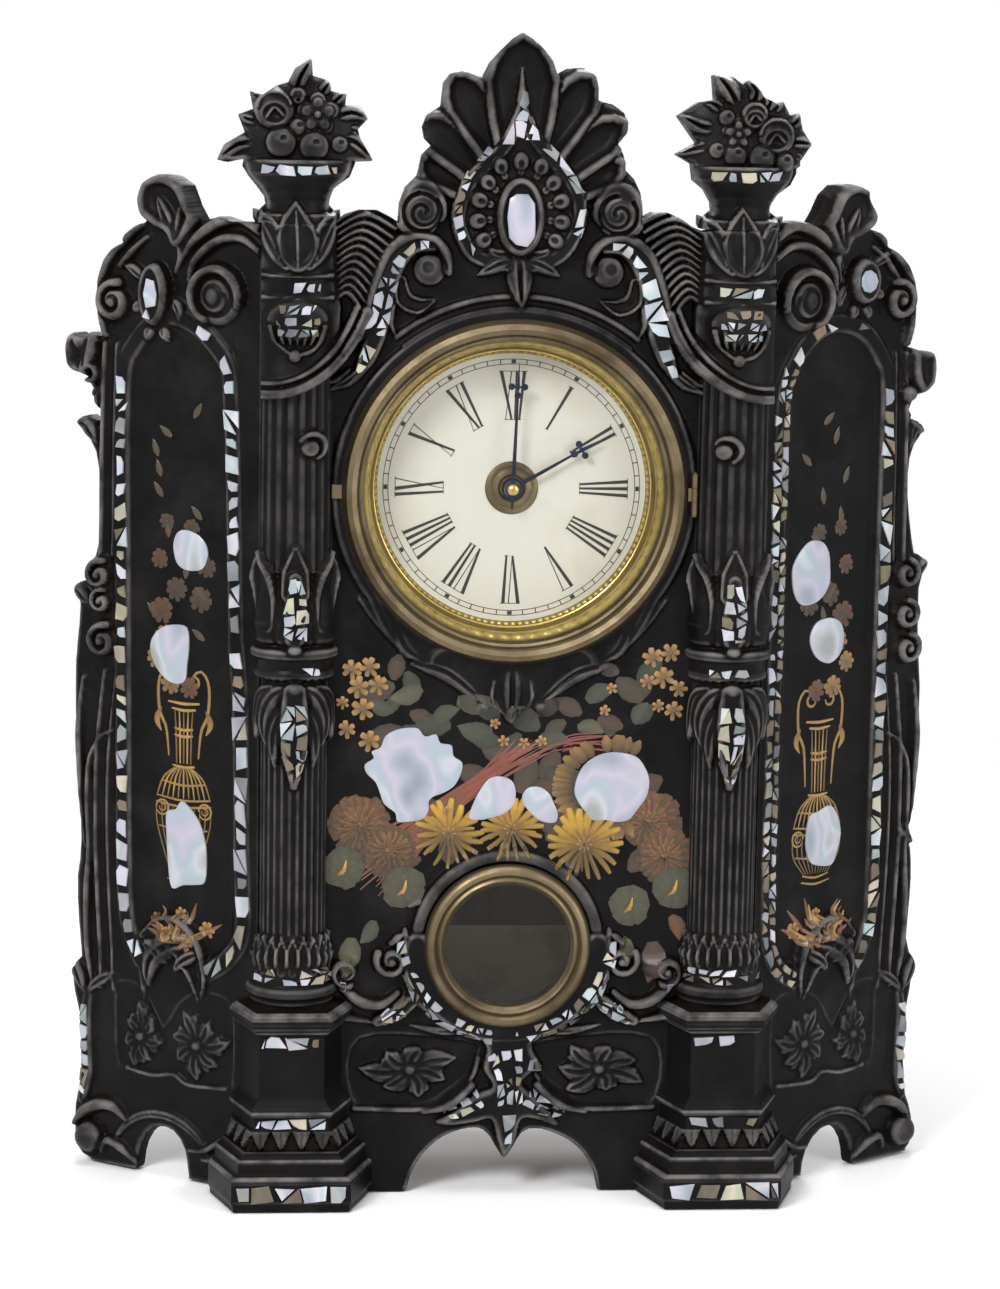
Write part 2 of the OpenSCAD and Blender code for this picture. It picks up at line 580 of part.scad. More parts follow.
// Pendulum window.
module window_ring() color([0.55, 0.46, 0.27]) turned(0, window_z)
    polygon([[window_r, -4], [window_r - 0.4, -7], [window_r - 2, -9], [window_r - 4, -9.4], [window_r - 5.6, -8],
        [window_r - 6.6, -8.2], [window_r - 7.4, -6.6], [window_r - 7.6, -5], [window_r - 6, -5], [window_r - 6, front_t],
        [window_r - 5 - run, front_t], [window_r - 5 - run, -4]]);
module window_glass() color([0.3, 0.3, 0.3, 0.4]) bar_y(0, window_z, -5 + 0.05, -5 + glass_t, window_r - 6.05);
module window_clamp_ring() color([0.5, 0.42, 0.26]) turned(0, window_z)
    polygon([[window_r - 8, -5 + glass_t + 0.05], [window_r - 6.05, -5 + glass_t + 0.05], [window_r - 6.05, front_t + 0.05],
        [window_r - 3, front_t + 0.05], [window_r - 3, front_t + 1.2], [window_r - 7, front_t + 1.2]]);

// Dial.
dial_r = opening_r + 5;
post_r = dial_r - 2.4;
dial_post_angles = [45:90:315];
module post_at(a) translate([post_r * cos(a), 0, dial_z + post_r * sin(a)]) children();
module dial_plate() color([0.87, 0.83, 0.7]) difference() {
    bar_y(0, dial_z, dial_y, dial_back, dial_r);
    bar_y(0, dial_z, dial_y - 1, dial_back + 1, 6);
    for (a = dial_post_angles) post_at(a) bar_y(0, 0, dial_y - 1, dial_back + 1, 1 + run);
}
module sight_ring() color([0.62, 0.52, 0.24]) turned(0, dial_z)
    polygon([[sight_r, dial_y], [sight_r + 1, dial_y - 3], [sight_r + 3.5, dial_y - 8], [opening_r - 1.6, gap], [opening_r - 0.6, gap],
        [sight_r + 4.5, dial_y - 8], [sight_r + 3, dial_y]]);
module dial_eyelet() color([0.6, 0.53, 0.32]) turned(0, dial_z)
    polygon([[5, dial_y - 0.8], [9, dial_y - 1.2], [10.5, dial_y], [6 - run, dial_y], [6 - run, dial_back + 0.3], [5, dial_back + 0.3]]);
module dial_posts() color([0.6, 0.5, 0.3])
    for (a = dial_post_angles) post_at(a) difference() {
        union() {
            bar_y(0, 0, front_t, dial_y, 2);
            bar_y(0, 0, 1.7, front_t + eps, 1.2);
        }
        bar_y(0, 0, front_t + 4, dial_y + 1, 0.8 + run);
    }
module dial_screws() color([0.6, 0.6, 0.6])
    for (a = dial_post_angles) post_at(a) {
        bar_y(0, 0, dial_y - 6, dial_back + eps, 0.8);
        bar_y(0, 0, dial_back, dial_back + 1.2, 2);
    }

// Hands, drawn pointing up with a trefoil below the tip
module hand(length, hub, bore) {
    knot = length * 0.78;
    difference() {
        union() {
            circle(hub);
            polygon([[-1, 0], [-0.45, knot], [0.45, knot], [1, 0]]);
            polygon([[-0.8, knot], [0, length], [0.8, knot]]);
            translate([0, knot - 2.6]) circle(1.5);
            for (s = [-1, 1]) translate([s * 2.9, knot + 1.2]) circle(1.5);
            translate([-2.9, knot + 0.6]) square([5.8, 1]);
        }
        circle(bore);
    }
}
module minute_hand() color([0.08, 0.08, 0.1]) sheet_y(9.2, 9.9) rotate(-minute_angle) {
    hand(minute_len, 3.4, arbor_r + run);
    difference() {
        polygon([[-1.1, 0], [-0.5, -9], [0.5, -9], [1.1, 0]]);
        circle(3);
    }
}
module hour_hand() color([0.08, 0.08, 0.1]) sheet_y(12.6, 13.4) rotate(-hour_angle) hand(hour_len, 5, pipe_r + run);
module hand_nut() color([0.6, 0.5, 0.3]) turned(0, dial_z)
    polygon([[arbor_r + run, 9.1], [arbor_r + run, 8], [1, 6.8], [2, 7.2], [2.6, 8.2], [2.6, 9.1]]);

// Wooden case.
module side_board(s) translate([s > 0 ? inner_x : -case_x, case_y, 0]) cube([board_t, case_d, case_h]);
module case_left_side() color([0.33, 0.2, 0.1]) side_board(-1);
module case_right_side() color([0.33, 0.2, 0.1]) side_board(1);
module case_top() color([0.36, 0.22, 0.11]) translate([-inner_x, case_y, case_h - board_t]) cube([2 * inner_x, case_d, board_t]);
module case_bottom() color([0.36, 0.22, 0.11]) translate([-inner_x, case_y, bottom_z]) cube([2 * inner_x, case_d, board_t]);
key_hole_r = 7;
back_screw_at = [for (x = [-1, 1], z = [bottom_z + 14, (bottom_z + case_h) / 2, case_h - 14]) [x * (case_x - board_t / 2), z]];
module back_board() color([0.4, 0.26, 0.14]) difference() {
    translate([-case_x, back_y, bottom_z]) cube([2 * case_x, back_t, case_h - bottom_z]);
    bar_y(great_at[0], dial_z + great_at[1], front_t + case_d - 1, front_t + case_d + back_t + 1, key_hole_r);
    for (p = back_screw_at) bar_y(p[0], p[1], front_t + case_d - 1, front_t + case_d + back_t + 1, 1.5 + run);
}
// Screws end at the board's back, so each is a countersunk pin in its own hole.
module back_screws() color([0.5, 0.5, 0.5])
    for (p = back_screw_at) bar_y(p[0], p[1], front_t + case_d + gap, front_t + case_d + back_t, 1.5);
batten_w = 13;
batten_d = 15;
batten_z0 = bottom_z + board_t;
module front_battens() color([0.42, 0.28, 0.16]) difference() {
    for (s = [-1, 1])
        translate([s > 0 ? inner_x - batten_w : -inner_x, case_y, batten_z0])
            cube([batten_w, batten_d, case_h - board_t - batten_z0]);
    for (s = [-1, 1], z = screw_z) bar_y(s * (inner_x - 6), z, front_t - 1, front_t + batten_d + 1, 2 + run);
}
module front_screws() color([0.5, 0.5, 0.5])
    for (s = [-1, 1], z = screw_z) {
        bar_y(s * (inner_x - 6), z, -5.7, front_t + batten_d + eps, 2);
        bar_y(s * (inner_x - 6), z, front_t + batten_d, front_t + batten_d + 2, 4);
    }
module movement_rails() color([0.42, 0.28, 0.16]) difference() {
    for (z = [rail_low, rail_high])
        translate([-inner_x, face_y + plate_fb, dial_z + z]) cube([2 * inner_x, 12, rail_h]);
    for (x = [-stud_x, stud_x], z = [rail_low, rail_high])
        bar_y(x, dial_z + z + rail_h / 2, plate_fb - 1, plate_fb + 11, 1.6 + run);
}
module movement_screws() color([0.55, 0.55, 0.55])
    for (x = [-stud_x, stud_x], z = [rail_low, rail_high]) {
        bar_y(x, dial_z + z + rail_h / 2, plate_f - eps, plate_fb + 10.7, 1.6);
        bar_y(x, dial_z + z + rail_h / 2, plate_f - 2, plate_f, 3.2);
    }
label_w = 120;
label_t = 0.3;
label_z0 = bottom_z + board_t + 1;
label_z1 = window_z - 14;
module paper_label() color([0.45, 0.36, 0.26])
    translate([-label_w / 2, back_y - label_t, label_z0]) cube([label_w, label_t, label_z1 - label_z0]);

// Movement.
pillar_low = rail_low + rail_h + 4.5; // the mainspring's hook clears the rail
pillar_at = [[-44, pillar_low], [44, pillar_low], [-44, verge_h - 4], [44, verge_h - 4]];
stud_r = 0.9; // stud of the minute wheel
plate_w = 98;
module front_plate() color([0.72, 0.6, 0.32]) difference() {
    sheet_y(plate_f, plate_fb) difference() {
        translate([-plate_w / 2, rail_low]) square([plate_w, rail_high + rail_h - rail_low]);
        for (p = [[34, -18, 12], [-32, 26, 12], [8, -44, 12]]) translate([p[0], p[1]]) circle(p[2]);
    }
    for (p = [third_at, escape_at, [0, verge_h]]) bar_y(p[0], dial_z + p[1], plate_f - 1, plate_fb + 1, pivot_r + run);
    for (p = [great_at, [0, 0]]) bar_y(p[0], dial_z + p[1], plate_f - 1, plate_fb + 1, arbor_r + run);
    for (p = pillar_at) bar_y(p[0], dial_z + p[1], plate_f - 1, plate_fb + 1, 1.5 + run);
    for (x = [-stud_x, stud_x], z = [rail_low, rail_high]) bar_y(x, dial_z + z + rail_h / 2, plate_f - 1, plate_fb + 1, 1.6 + run);
    bar_y(-motion_c, dial_z, plate_f - 1, plate_fb + 1, stud_r + run);
}
module motion_stud() color([0.55, 0.55, 0.58]) {
    bar_y(-motion_c, dial_z, hour_y - 1.2, plate_fb, stud_r);
    bar_y(-motion_c, dial_z, hour_y - 2, hour_y - 1, stud_r + 0.7);
}
module back_plate() color([0.72, 0.6, 0.32]) difference() {
    sheet_y(plate_b, plate_bb) difference() {
        translate([-plate_w / 2, rail_low + 10]) square([plate_w, verge_h + 4 - rail_low]);
        for (p = [[34, -18, 12], [-32, 26, 12]]) translate([p[0], p[1]]) circle(p[2]);
    }
    for (p = [third_at, escape_at, [0, 0]]) bar_y(p[0], dial_z + p[1], plate_b - 1, plate_bb + 1, pivot_r + run);
    bar_y(great_at[0], dial_z + great_at[1], plate_b - 1, plate_bb + 1, 2.6 + run);
    bar_y(0, suspension_z, plate_b - 1, plate_bb + 1, 1.2 + run);
    for (p = pillar_at) bar_y(p[0], dial_z + p[1], plate_b - 1, plate_bb + 1, 1.5 + run);
}
module plate_pillars() color([0.65, 0.55, 0.32])
    for (p = pillar_at) {
        bar_y(p[0], dial_z + p[1], plate_fb, plate_b, 3);
        bar_y(p[0], dial_z + p[1], plate_f - 2.5, plate_fb + eps, 1.5);
        bar_y(p[0], dial_z + p[1], plate_b - eps, plate_bb + 2.5, 1.5);
    }
module pillar_nuts() color([0.6, 0.6, 0.6])
    for (p = pillar_at, y = [plate_f - 2, plate_bb])
        difference() {
            translate([p[0], face_y + y, dial_z + p[1]]) rotate([-90, 0, 0]) cylinder(r = 3.2, h = 2, $fn = 6);
            bar_y(p[0], dial_z + p[1], y - 1, y + 3, 1.5 + run);
        }

// A toothed outline: radii of root, pitch and tip, and tooth widths as shares of the tooth spacing.
module toothed(n, m, turn = 0, add = 0.85, ded = 1.3, share = 0.36) {
    pitch = m * n / 2;
    s = 360 / n;
    function at(r, a) = r * [cos(a), sin(a)];
    rotate(turn) polygon([for (i = [0:n - 1]) each [
        at(pitch - ded * m, (i - share * 0.62) * s), at(pitch, (i - share / 2) * s), at(pitch + add * m, (i - share * 0.2) * s),
        at(pitch + add * m, (i + share * 0.2) * s), at(pitch, (i + share / 2) * s), at(pitch - ded * m, (i + share * 0.62) * s)]]);
}

// A crossed-out wheel: a toothed rim, four arms and a hub.
module wheel(n, m, turn, hub, rim) {
    root = m * n / 2 - 1.3 * m;
    difference() {
        toothed(n, m, turn);
        difference() {
            circle(root - rim);
            circle(hub);
            for (a = [0, 90]) rotate(a + 20) square([2 * root, 3.2], center = true);
        }
    }
}

// Angle of the direction from a to b, seen from the front.
function toward(a, b) = atan2(b[1] - a[1], b[0] - a[0]);
// Turn that puts a gap of an n-toothed wheel at angle a.
function gap_at(n, a) = a + 180 / n;

// A lantern pinion between two depths: two shrouds and a ring of round leaves, one of them at angle a.
module lantern(at, m, y0, y1, a) {
    r = m * leaf_n / 2;
    for (y = [y0, y1 - 0.8]) bar_y(at[0], dial_z + at[1], y, y + 0.8, r + 1.1);
    for (i = [0:leaf_n - 1]) let (b = a + 360 * i / leaf_n)
        bar_y(at[0] + r * cos(b), dial_z + at[1] + r * sin(b), y0 + 0.4, y1 - 0.4, 0.26 * PI * m);
}

spring_y0 = plate_fb + 4.5;
spring_y1 = great_y - 5;
spring_n = 105;
function coil(i, side) = great_at + (3.05 + side + 15.8 * i / spring_n) * [cos(24 * i + 170.6), sin(24 * i + 170.6)];
// The spring's outer end is hooked round a pillar.
hook = [[-3.8, 0], [-3.1, -2.4], [-1.2, -3.7], [1, -3.9], [1, -3.3], [-1, -3.15], [-2.6, -2], [-3.2, 0]];
module mainspring() color([0.35, 0.37, 0.42]) sheet_y(spring_y0, spring_y1)
    polygon([for (i = [0:spring_n]) coil(i, 0.6), for (p = hook) pillar_at[0] + p, for (i = [spring_n:-1:0]) coil(i, 0)]);
square_r = 2.2;
module winding_arbor() color([0.55, 0.55, 0.58]) {
    p = great_at;
    bar_y(p[0], dial_z + p[1], plate_f - 1, plate_fb + 1, arbor_r);
    bar_y(p[0], dial_z + p[1], plate_fb + 0.3, great_y - 4, 3);
    bar_y(p[0], dial_z + p[1], great_y - 4 - eps, plate_bb + 3, 2.6);
    translate([p[0] - square_r, face_y + plate_bb + 3 - eps, dial_z + p[1] - square_r])
        cube([2 * square_r, front_t + case_d - plate_bb - 5, 2 * square_r]);
}
ratchet_n = 12;
ratchet_r = 8;
module ratchet_wheel() color([0.66, 0.56, 0.3]) sheet_y(great_y - 3, great_y - 1) translate(great_at) difference() {
    polygon([for (i = [0:ratchet_n - 1]) let (a = 360 * i / ratchet_n - 41) each [
        ratchet_r * [cos(a), sin(a)], (ratchet_r - 1.6) * [cos(a + 7), sin(a + 7)]]]);
    circle(2.6 + run);
}
click_at = [11.6, 0];
spring_at = [2, -12.4];
module great_wheel() color([0.7, 0.58, 0.3]) {
    sheet_y(great_y, great_y + 2) translate(great_at) difference() {
        wheel(great_n, great_m, gap_at(great_n, toward(great_at, [0, 0])), 15, 3.2);
        circle(2.6 + run);
    }
    // collar behind, and the studs of the click and its spring
    difference() {
        bar_y(great_at[0], dial_z + great_at[1], great_y + 2 - eps, plate_b - 0.4, 5);
        bar_y(great_at[0], dial_z + great_at[1], great_y, plate_b, 2.6 + run);
    }
    bar_y(great_at[0] + click_at[0], dial_z + great_at[1] + click_at[1], great_y - 3.2, great_y + eps, 1);
    bar_y(great_at[0] + spring_at[0], dial_z + great_at[1] + spring_at[1], great_y - 2.8, great_y + eps, 0.7);
}
module click() color([0.5, 0.5, 0.53]) sheet_y(great_y - 2.8, great_y - 0.4) translate(great_at) difference() {
    union() {
        translate(click_at) circle(2.4);
        polygon([[6.41, -3.27], [9.6, -1.4], [11.6, -1], [11.4, -2.39], [5.7, -3.79]]);
    }
    translate(click_at) circle(1 + run);
}
module click_spring() color([0.5, 0.5, 0.53]) sheet_y(great_y - 2.4, great_y - 0.8) translate(great_at) difference() {
    union() {
        translate(spring_at) circle(1.3);
        polygon([spring_at + [0.7, 0.9], spring_at + [1.2, 0.6], [8.5, -3.7], [8.1, -3.4]]);
    }
    translate(spring_at) circle(0.7 + run);
}

module arbor(at, y0, y1, r) {
    bar_y(at[0], dial_z + at[1], y0 - plate_t, y0 + 0.5, pivot_r);
    bar_y(at[0], dial_z + at[1], y0 + 0.25, y1 - 0.25, r);
    bar_y(at[0], dial_z + at[1], y1 - 0.5, y1 + plate_t, pivot_r);
}
centre_y = plate_fb + 1.5;
module centre_wheel() color([0.7, 0.58, 0.3]) {
    c = [0, 0];
    bar_y(0, dial_z, 8, plate_b - 0.25, arbor_r);
    bar_y(0, dial_z, plate_b - 0.5, plate_bb, pivot_r);
    sheet_y(centre_y, centre_y + 1.2) wheel(wheel_n, train_m, gap_at(wheel_n, toward(c, third_at)), 5, 1.8);
    lantern(c, great_m, great_y - 2, great_y + 4.5, toward(c, great_at));
}
third_y = centre_y + 12.5;
module third_wheel() color([0.7, 0.58, 0.3]) {
    arbor(third_at, plate_fb, plate_b, 1.2);
    lantern(third_at, train_m, centre_y - 1.2, centre_y + 2.6, toward(third_at, [0, 0]));
    sheet_y(third_y, third_y + 1.2) translate(third_at) wheel(wheel_n, train_m, gap_at(wheel_n, toward(third_at, escape_at)), 4, 1.8);
}
escape_y = plate_b - 5;
module escape_wheel() color([0.74, 0.62, 0.34]) {
    arbor(escape_at, plate_fb, plate_b, 1);
    lantern(escape_at, train_m, third_y - 1.2, third_y + 2.6, toward(escape_at, third_at));
    sheet_y(escape_y, escape_y + 1) translate(escape_at) difference() {
        polygon([for (i = [0:escape_n - 1]) let (a = 360 * i / escape_n) each [
            escape_r * [cos(a), sin(a)], (escape_r - 2) * [cos(a + 4), sin(a + 4)], (escape_r - 2) * [cos(a + 7), sin(a + 7)]]]);
        difference() {
            circle(escape_r - 4);
            circle(3);
            for (a = [0, 90]) rotate(a) square([2 * escape_r, 2], center = true);
        }
    }
}
module verge() color([0.45, 0.47, 0.52]) {
    v = [0, verge_h];
    bar_y(0, suspension_z, plate_f, plate_fb + 0.5, pivot_r);
    bar_y(0, suspension_z, plate_fb + 0.25, plate_bb + 4, 1.2);
    // anchor: two arms that reach the wheel on each side
    sheet_y(escape_y - 0.8, escape_y + 1.8) difference() {
        union() {
            translate(v) circle(2.6);
            for (s = [-1, 1])
                polygon([v + [0, 1.6], v + [s * 12.8, -7], v + [s * 13.2, -9.5], v + [s * 11.6, -11.8], v + [s * 10, -7.4],
                    v + [0, -1.6]]);
        }
        translate(escape_at) circle(escape_r + 1);
    }
}
crutch_y = plate_bb + 1.2;
rod_r = 1.2;
module crutch() color([0.5, 0.5, 0.54]) {
    drop = 34;
    difference() {
        union() {
            bar_y(0, suspension_z, crutch_y, crutch_y + 2.4, 3);
            sheet_y(crutch_y, crutch_y + 1.2) translate([-1, verge_h - drop]) square([2, drop - 2]);
        }
        bar_y(0, suspension_z, crutch_y - 1, crutch_y + 4, 1.2 + run);
    }
    // fork on each side of the rod
    sheet_y(crutch_y, crutch_y + 1.2) translate([-2.8, verge_h - drop - 2]) square([5.6, 3]);
    for (s = [-1, 1]) translate([s * 2.2 - 0.6, face_y + crutch_y, suspension_z - drop - 2])
        cube([1.2, pend_y + rod_r + 1 - crutch_y, 2]);
}
cock_h = 12;
module pendulum_cock() color([0.68, 0.57, 0.33]) difference() {
    translate([-7, face_y + plate_bb, suspension_z + 5]) cube([14, pend_y + 4 - plate_bb, 8]);
    translate([-0.1 - run, face_y + pend_y - 3 - run, suspension_z + 4]) cube([0.2 + 2 * run, 6 + 2 * run, cock_h]);
}
module suspension_spring() color([0.6, 0.62, 0.66])
    translate([-0.1, face_y + pend_y - 3, suspension_z - 6]) cube([0.2, 6, 18]);
module pendulum_rod() color([0.45, 0.43, 0.4]) {
    difference() {
        translate([-1.8, face_y + pend_y - 3.6, suspension_z - 12]) cube([3.6, 7.2, 10]);
        translate([-0.6, face_y + pend_y - 4, suspension_z - 7]) cube([1.2, 8, 6]);
    }
    translate([0, face_y + pend_y, bob_z - bob_r - 5.5]) cylinder(r = rod_r, h = suspension_z - 11 - bob_z + bob_r + 5.5);
}
module pendulum_bob() color([0.3, 0.25, 0.17]) difference() {
    turned(0, bob_z) polygon([[0, pend_y - 5], [bob_r * 0.5, pend_y - 4.6], [bob_r * 0.86, pend_y - 3], [bob_r, pend_y - 0.8], [bob_r, pend_y + 0.8],
        [bob_r * 0.86, pend_y + 3], [bob_r * 0.5, pend_y + 4.6], [0, pend_y + 5]]);
    translate([0, face_y + pend_y, bob_z - bob_r - 1]) cylinder(r = rod_r + run, h = 2 * bob_r + 2);
}
module rating_nut() color([0.5, 0.42, 0.26]) difference() {
    translate([0, face_y + pend_y, bob_z - bob_r - 3.8]) cylinder(r = 3.4, h = 3.5);
    translate([0, face_y + pend_y, bob_z - bob_r - 6]) cylinder(r = rod_r + run, h = 7);
}

// Motion work, in front of the front plate
cannon_y = plate_f - 3.2;
hour_y = cannon_y - 4.2;
module cannon_pinion() color([0.66, 0.55, 0.3]) difference() {
    union() {
        sheet_y(cannon_y, cannon_y + 2.4) toothed(cannon_n, motion_m, 180, 0.75, 1.2, 0.4);
        bar_y(0, dial_z, 10, cannon_y + 3, cannon_r);
    }
    bar_y(0, dial_z, 9, cannon_y + 4, arbor_r + run);
}
module minute_wheel() color([0.7, 0.58, 0.3]) difference() {
    union() {
        sheet_y(cannon_y + 0.5, cannon_y + 1.7) translate([-motion_c, 0]) toothed(minute_n, motion_m, gap_at(minute_n, 0), 0.75, 1.2, 0.4);
        sheet_y(hour_y - 0.4, cannon_y + 0.5 + eps) translate([-motion_c, 0]) toothed(pinion_n, hour_m, 0, 0.7, 1.15, 0.4);
    }
    bar_y(-motion_c, dial_z, hour_y - 2, plate_f, stud_r + run);
}
module hour_wheel() color([0.7, 0.58, 0.3]) difference() {
    union() {
        sheet_y(hour_y, hour_y + 1.2) toothed(hour_n, hour_m, gap_at(hour_n, 180), 0.7, 1.15, 0.4);
        bar_y(0, dial_z, 12.4, hour_y + 1.2, pipe_r);
    }
    bar_y(0, dial_z, 11, hour_y + 2, cannon_r + 2 * run);
}

iron_front();
finial_left();
finial_right();
pearl_plaques();
pearl_chips();
door_rim();
door_glass();
door_glass_ring();
door_hinge_leaf();
case_hinge_leaf();
hinge_pin();
door_catch();
catch_keeper();
window_ring();
window_glass();
window_clamp_ring();
dial_plate();
sight_ring();
dial_eyelet();
dial_posts();
dial_screws();
minute_hand();
hour_hand();
hand_nut();
case_left_side();
case_right_side();
case_top();
case_bottom();
back_board();
back_screws();
front_battens();
front_screws();
movement_rails();
movement_screws();
paper_label();
front_plate();
back_plate();
plate_pillars();
pillar_nuts();
motion_stud();
mainspring();
winding_arbor();
ratchet_wheel();
great_wheel();
click();
click_spring();
centre_wheel();
cannon_pinion();
minute_wheel();
hour_wheel();
third_wheel();
escape_wheel();
verge();
crutch();
pendulum_cock();
suspension_spring();
pendulum_rod();
pendulum_bob();
rating_nut();
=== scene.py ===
"""Looks of a cast iron shelf clock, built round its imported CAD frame.

Lengths are written in millimetres and turned into metres as meshes are made.
The front faces -Y and +Z is up.
"""
import math
import random

import bmesh
import bpy
import numpy as np
from mathutils import Matrix, Vector
from mathutils.geometry import delaunay_2d_cdt
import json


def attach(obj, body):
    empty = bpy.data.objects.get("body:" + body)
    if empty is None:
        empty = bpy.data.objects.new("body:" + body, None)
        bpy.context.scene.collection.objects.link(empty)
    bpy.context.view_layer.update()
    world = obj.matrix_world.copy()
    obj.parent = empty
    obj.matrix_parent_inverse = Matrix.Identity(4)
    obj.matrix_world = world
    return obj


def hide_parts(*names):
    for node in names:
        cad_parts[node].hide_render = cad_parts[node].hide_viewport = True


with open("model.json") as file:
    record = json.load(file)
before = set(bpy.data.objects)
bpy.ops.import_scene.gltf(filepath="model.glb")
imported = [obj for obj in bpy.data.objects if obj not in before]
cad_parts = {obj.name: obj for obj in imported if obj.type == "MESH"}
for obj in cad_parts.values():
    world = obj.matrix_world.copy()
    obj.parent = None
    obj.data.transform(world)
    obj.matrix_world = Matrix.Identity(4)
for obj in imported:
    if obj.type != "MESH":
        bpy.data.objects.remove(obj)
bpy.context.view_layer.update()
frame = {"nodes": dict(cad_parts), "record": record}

MM = 0.001
SIDES = ((-1, "left"), (1, "right"))

# The front: the field's face, the columns' axes, the wings' roots and turn, the dial and the window
FACE_Y = -32.6
COLUMN_X = 96.5
WING_X = 112.0
WING_TURN = math.radians(33.5)
DIAL_Z = 319.5
DIAL_FACE = 17
WINDOW_Z = 116.0
BACK = -5.0

# The camera, fitted to the photograph
PHOTO_HEIGHT = 1289
FOCAL_PIXELS = 3400
SENSOR = 36
CAMERA_PLACE = (-123, -1519.6, 481)
CAMERA_TURNS = (8.75, 4.525, 0.98)


def make_camera():
    tilt, yaw, roll = (math.radians(v) for v in CAMERA_TURNS)
    right = Vector((math.cos(yaw), -math.sin(yaw), 0))
    ahead = Vector((math.sin(yaw) * math.cos(tilt), math.cos(yaw) * math.cos(tilt), -math.sin(tilt)))
    up = right.cross(ahead)
    side = right * math.cos(roll) + up * math.sin(roll)
    top = up * math.cos(roll) - right * math.sin(roll)
    data = bpy.data.cameras.new("camera")
    data.sensor_width = SENSOR
    data.lens = FOCAL_PIXELS * SENSOR / PHOTO_HEIGHT
    data.clip_start = 0.05
    data.clip_end = 50
    cam = bpy.data.objects.new("camera", data)
    place = Matrix((side, top, -ahead)).transposed().to_4x4()
    place.translation = Vector(CAMERA_PLACE) * MM
    cam.matrix_world = place
    bpy.context.collection.objects.link(cam)
    bpy.context.scene.camera = cam


make_camera()


# Curves and distances
def curve(points, closed=False, per=5):
    """A smooth line through points."""
    p = np.asarray(points, float)
    n = len(p)
    parts = []
    for k in range(n if closed else n - 1):
        if closed:
            p0, p1, p2, p3 = p[k - 1], p[k], p[(k + 1) % n], p[(k + 2) % n]
        else:
            p0, p1, p2, p3 = p[max(k - 1, 0)], p[k], p[k + 1], p[min(k + 2, n - 1)]
        t = np.linspace(0, 1, per, endpoint=False)[:, None]
        parts.append(0.5 * (2 * p1 + (p2 - p0) * t + (2 * p0 - 5 * p1 + 4 * p2 - p3) * t**2
                            + (3 * p1 - p0 - 3 * p2 + p3) * t**3))
    if not closed:
        parts.append(p[-1:])
    return np.concatenate(parts)


def lengths(p):
    """Distance along a line at each of its points."""
    return np.concatenate([[0], np.cumsum(np.hypot(*np.diff(p, axis=0).T))])


def signed(a, b, outline):
    """Distance to a closed outline, positive inside."""
    p = np.asarray(outline, float)
    best = np.full(a.shape, 1e9)
    inside = np.zeros(a.shape, bool)
    for (x0, y0), (x1, y1) in zip(p, np.roll(p, -1, 0)):
        dx, dy = x1 - x0, y1 - y0
        t = np.clip(((a - x0) * dx + (b - y0) * dy) / (dx * dx + dy * dy + 1e-12), 0, 1)
        best = np.minimum(best, (a - x0 - t * dx) ** 2 + (b - y0 - t * dy) ** 2)
        crosses = (y0 > b) != (y1 > b)
        if dy:
            inside ^= crosses & (a < dx * (b - y0) / dy + x0)
    return np.where(inside, 1, -1) * np.sqrt(best)


def arc(a, b, r, start, stop, n=14):
    """Points on an arc about (a, b), angles in degrees from +a towards +b."""
    t = np.radians(np.linspace(start, stop, n))
    return np.stack([a + r * np.cos(t), b + r * np.sin(t)], 1)


def circle(a, b, r, n=96):
    return arc(a, b, r, 0, 360 * (1 - 1 / n), n)


def heading(degrees):
    t = math.radians(degrees)
    return math.cos(t), math.sin(t)


def at(s, *points):
    """Points on side s of the middle."""
    return [(s * a, b) for a, b in points]


def normals(p, tiny=0):
    """Unit vectors to the left of a line at each of its points."""
    g = np.gradient(p, axis=0)
    return np.stack([-g[:, 1], g[:, 0]], 1) / (np.hypot(g[:, 0], g[:, 1])[:, None] + tiny)


def spread(t, values):
    """Values spaced evenly from 0 to 1, read at t."""
    values = np.atleast_1d(values)
    return np.interp(t, np.linspace(0, 1, len(values)), values)


def blurred(h, times):
    """A grid of heights, softened."""
    for _ in range(times):
        p = np.pad(h, 1, mode="edge")
        h = (p[:-2, 1:-1] + 2 * p[1:-1, 1:-1] + p[2:, 1:-1]) / 4
        p = np.pad(h, 1, mode="edge")
        h = (p[1:-1, :-2] + 2 * p[1:-1, 1:-1] + p[1:-1, 2:]) / 4
    return h


# Sections of a raised line, from its middle (0) to its edge (1)
def round_section(q):
    return np.sqrt(np.clip(1 - q * q, 0, 1))


def soft_section(q):
    return np.cos(np.clip(q, 0, 1) * math.pi / 2) ** 1.4


def leaf_section(q):
    return np.sqrt(np.clip(1 - q * q, 0, 1)) * (1 - 0.4 * np.exp(-((q / 0.16) ** 2)))


def cup_section(q):
    rim = 0.35 + 0.65 * np.exp(-(((q - 0.78) / 0.17) ** 2))
    return rim * np.sqrt(np.clip((1 - q) / 0.14, 0, 1))


def flat_section(q):
    return np.sqrt(np.clip((1 - q) / 0.3, 0, 1))


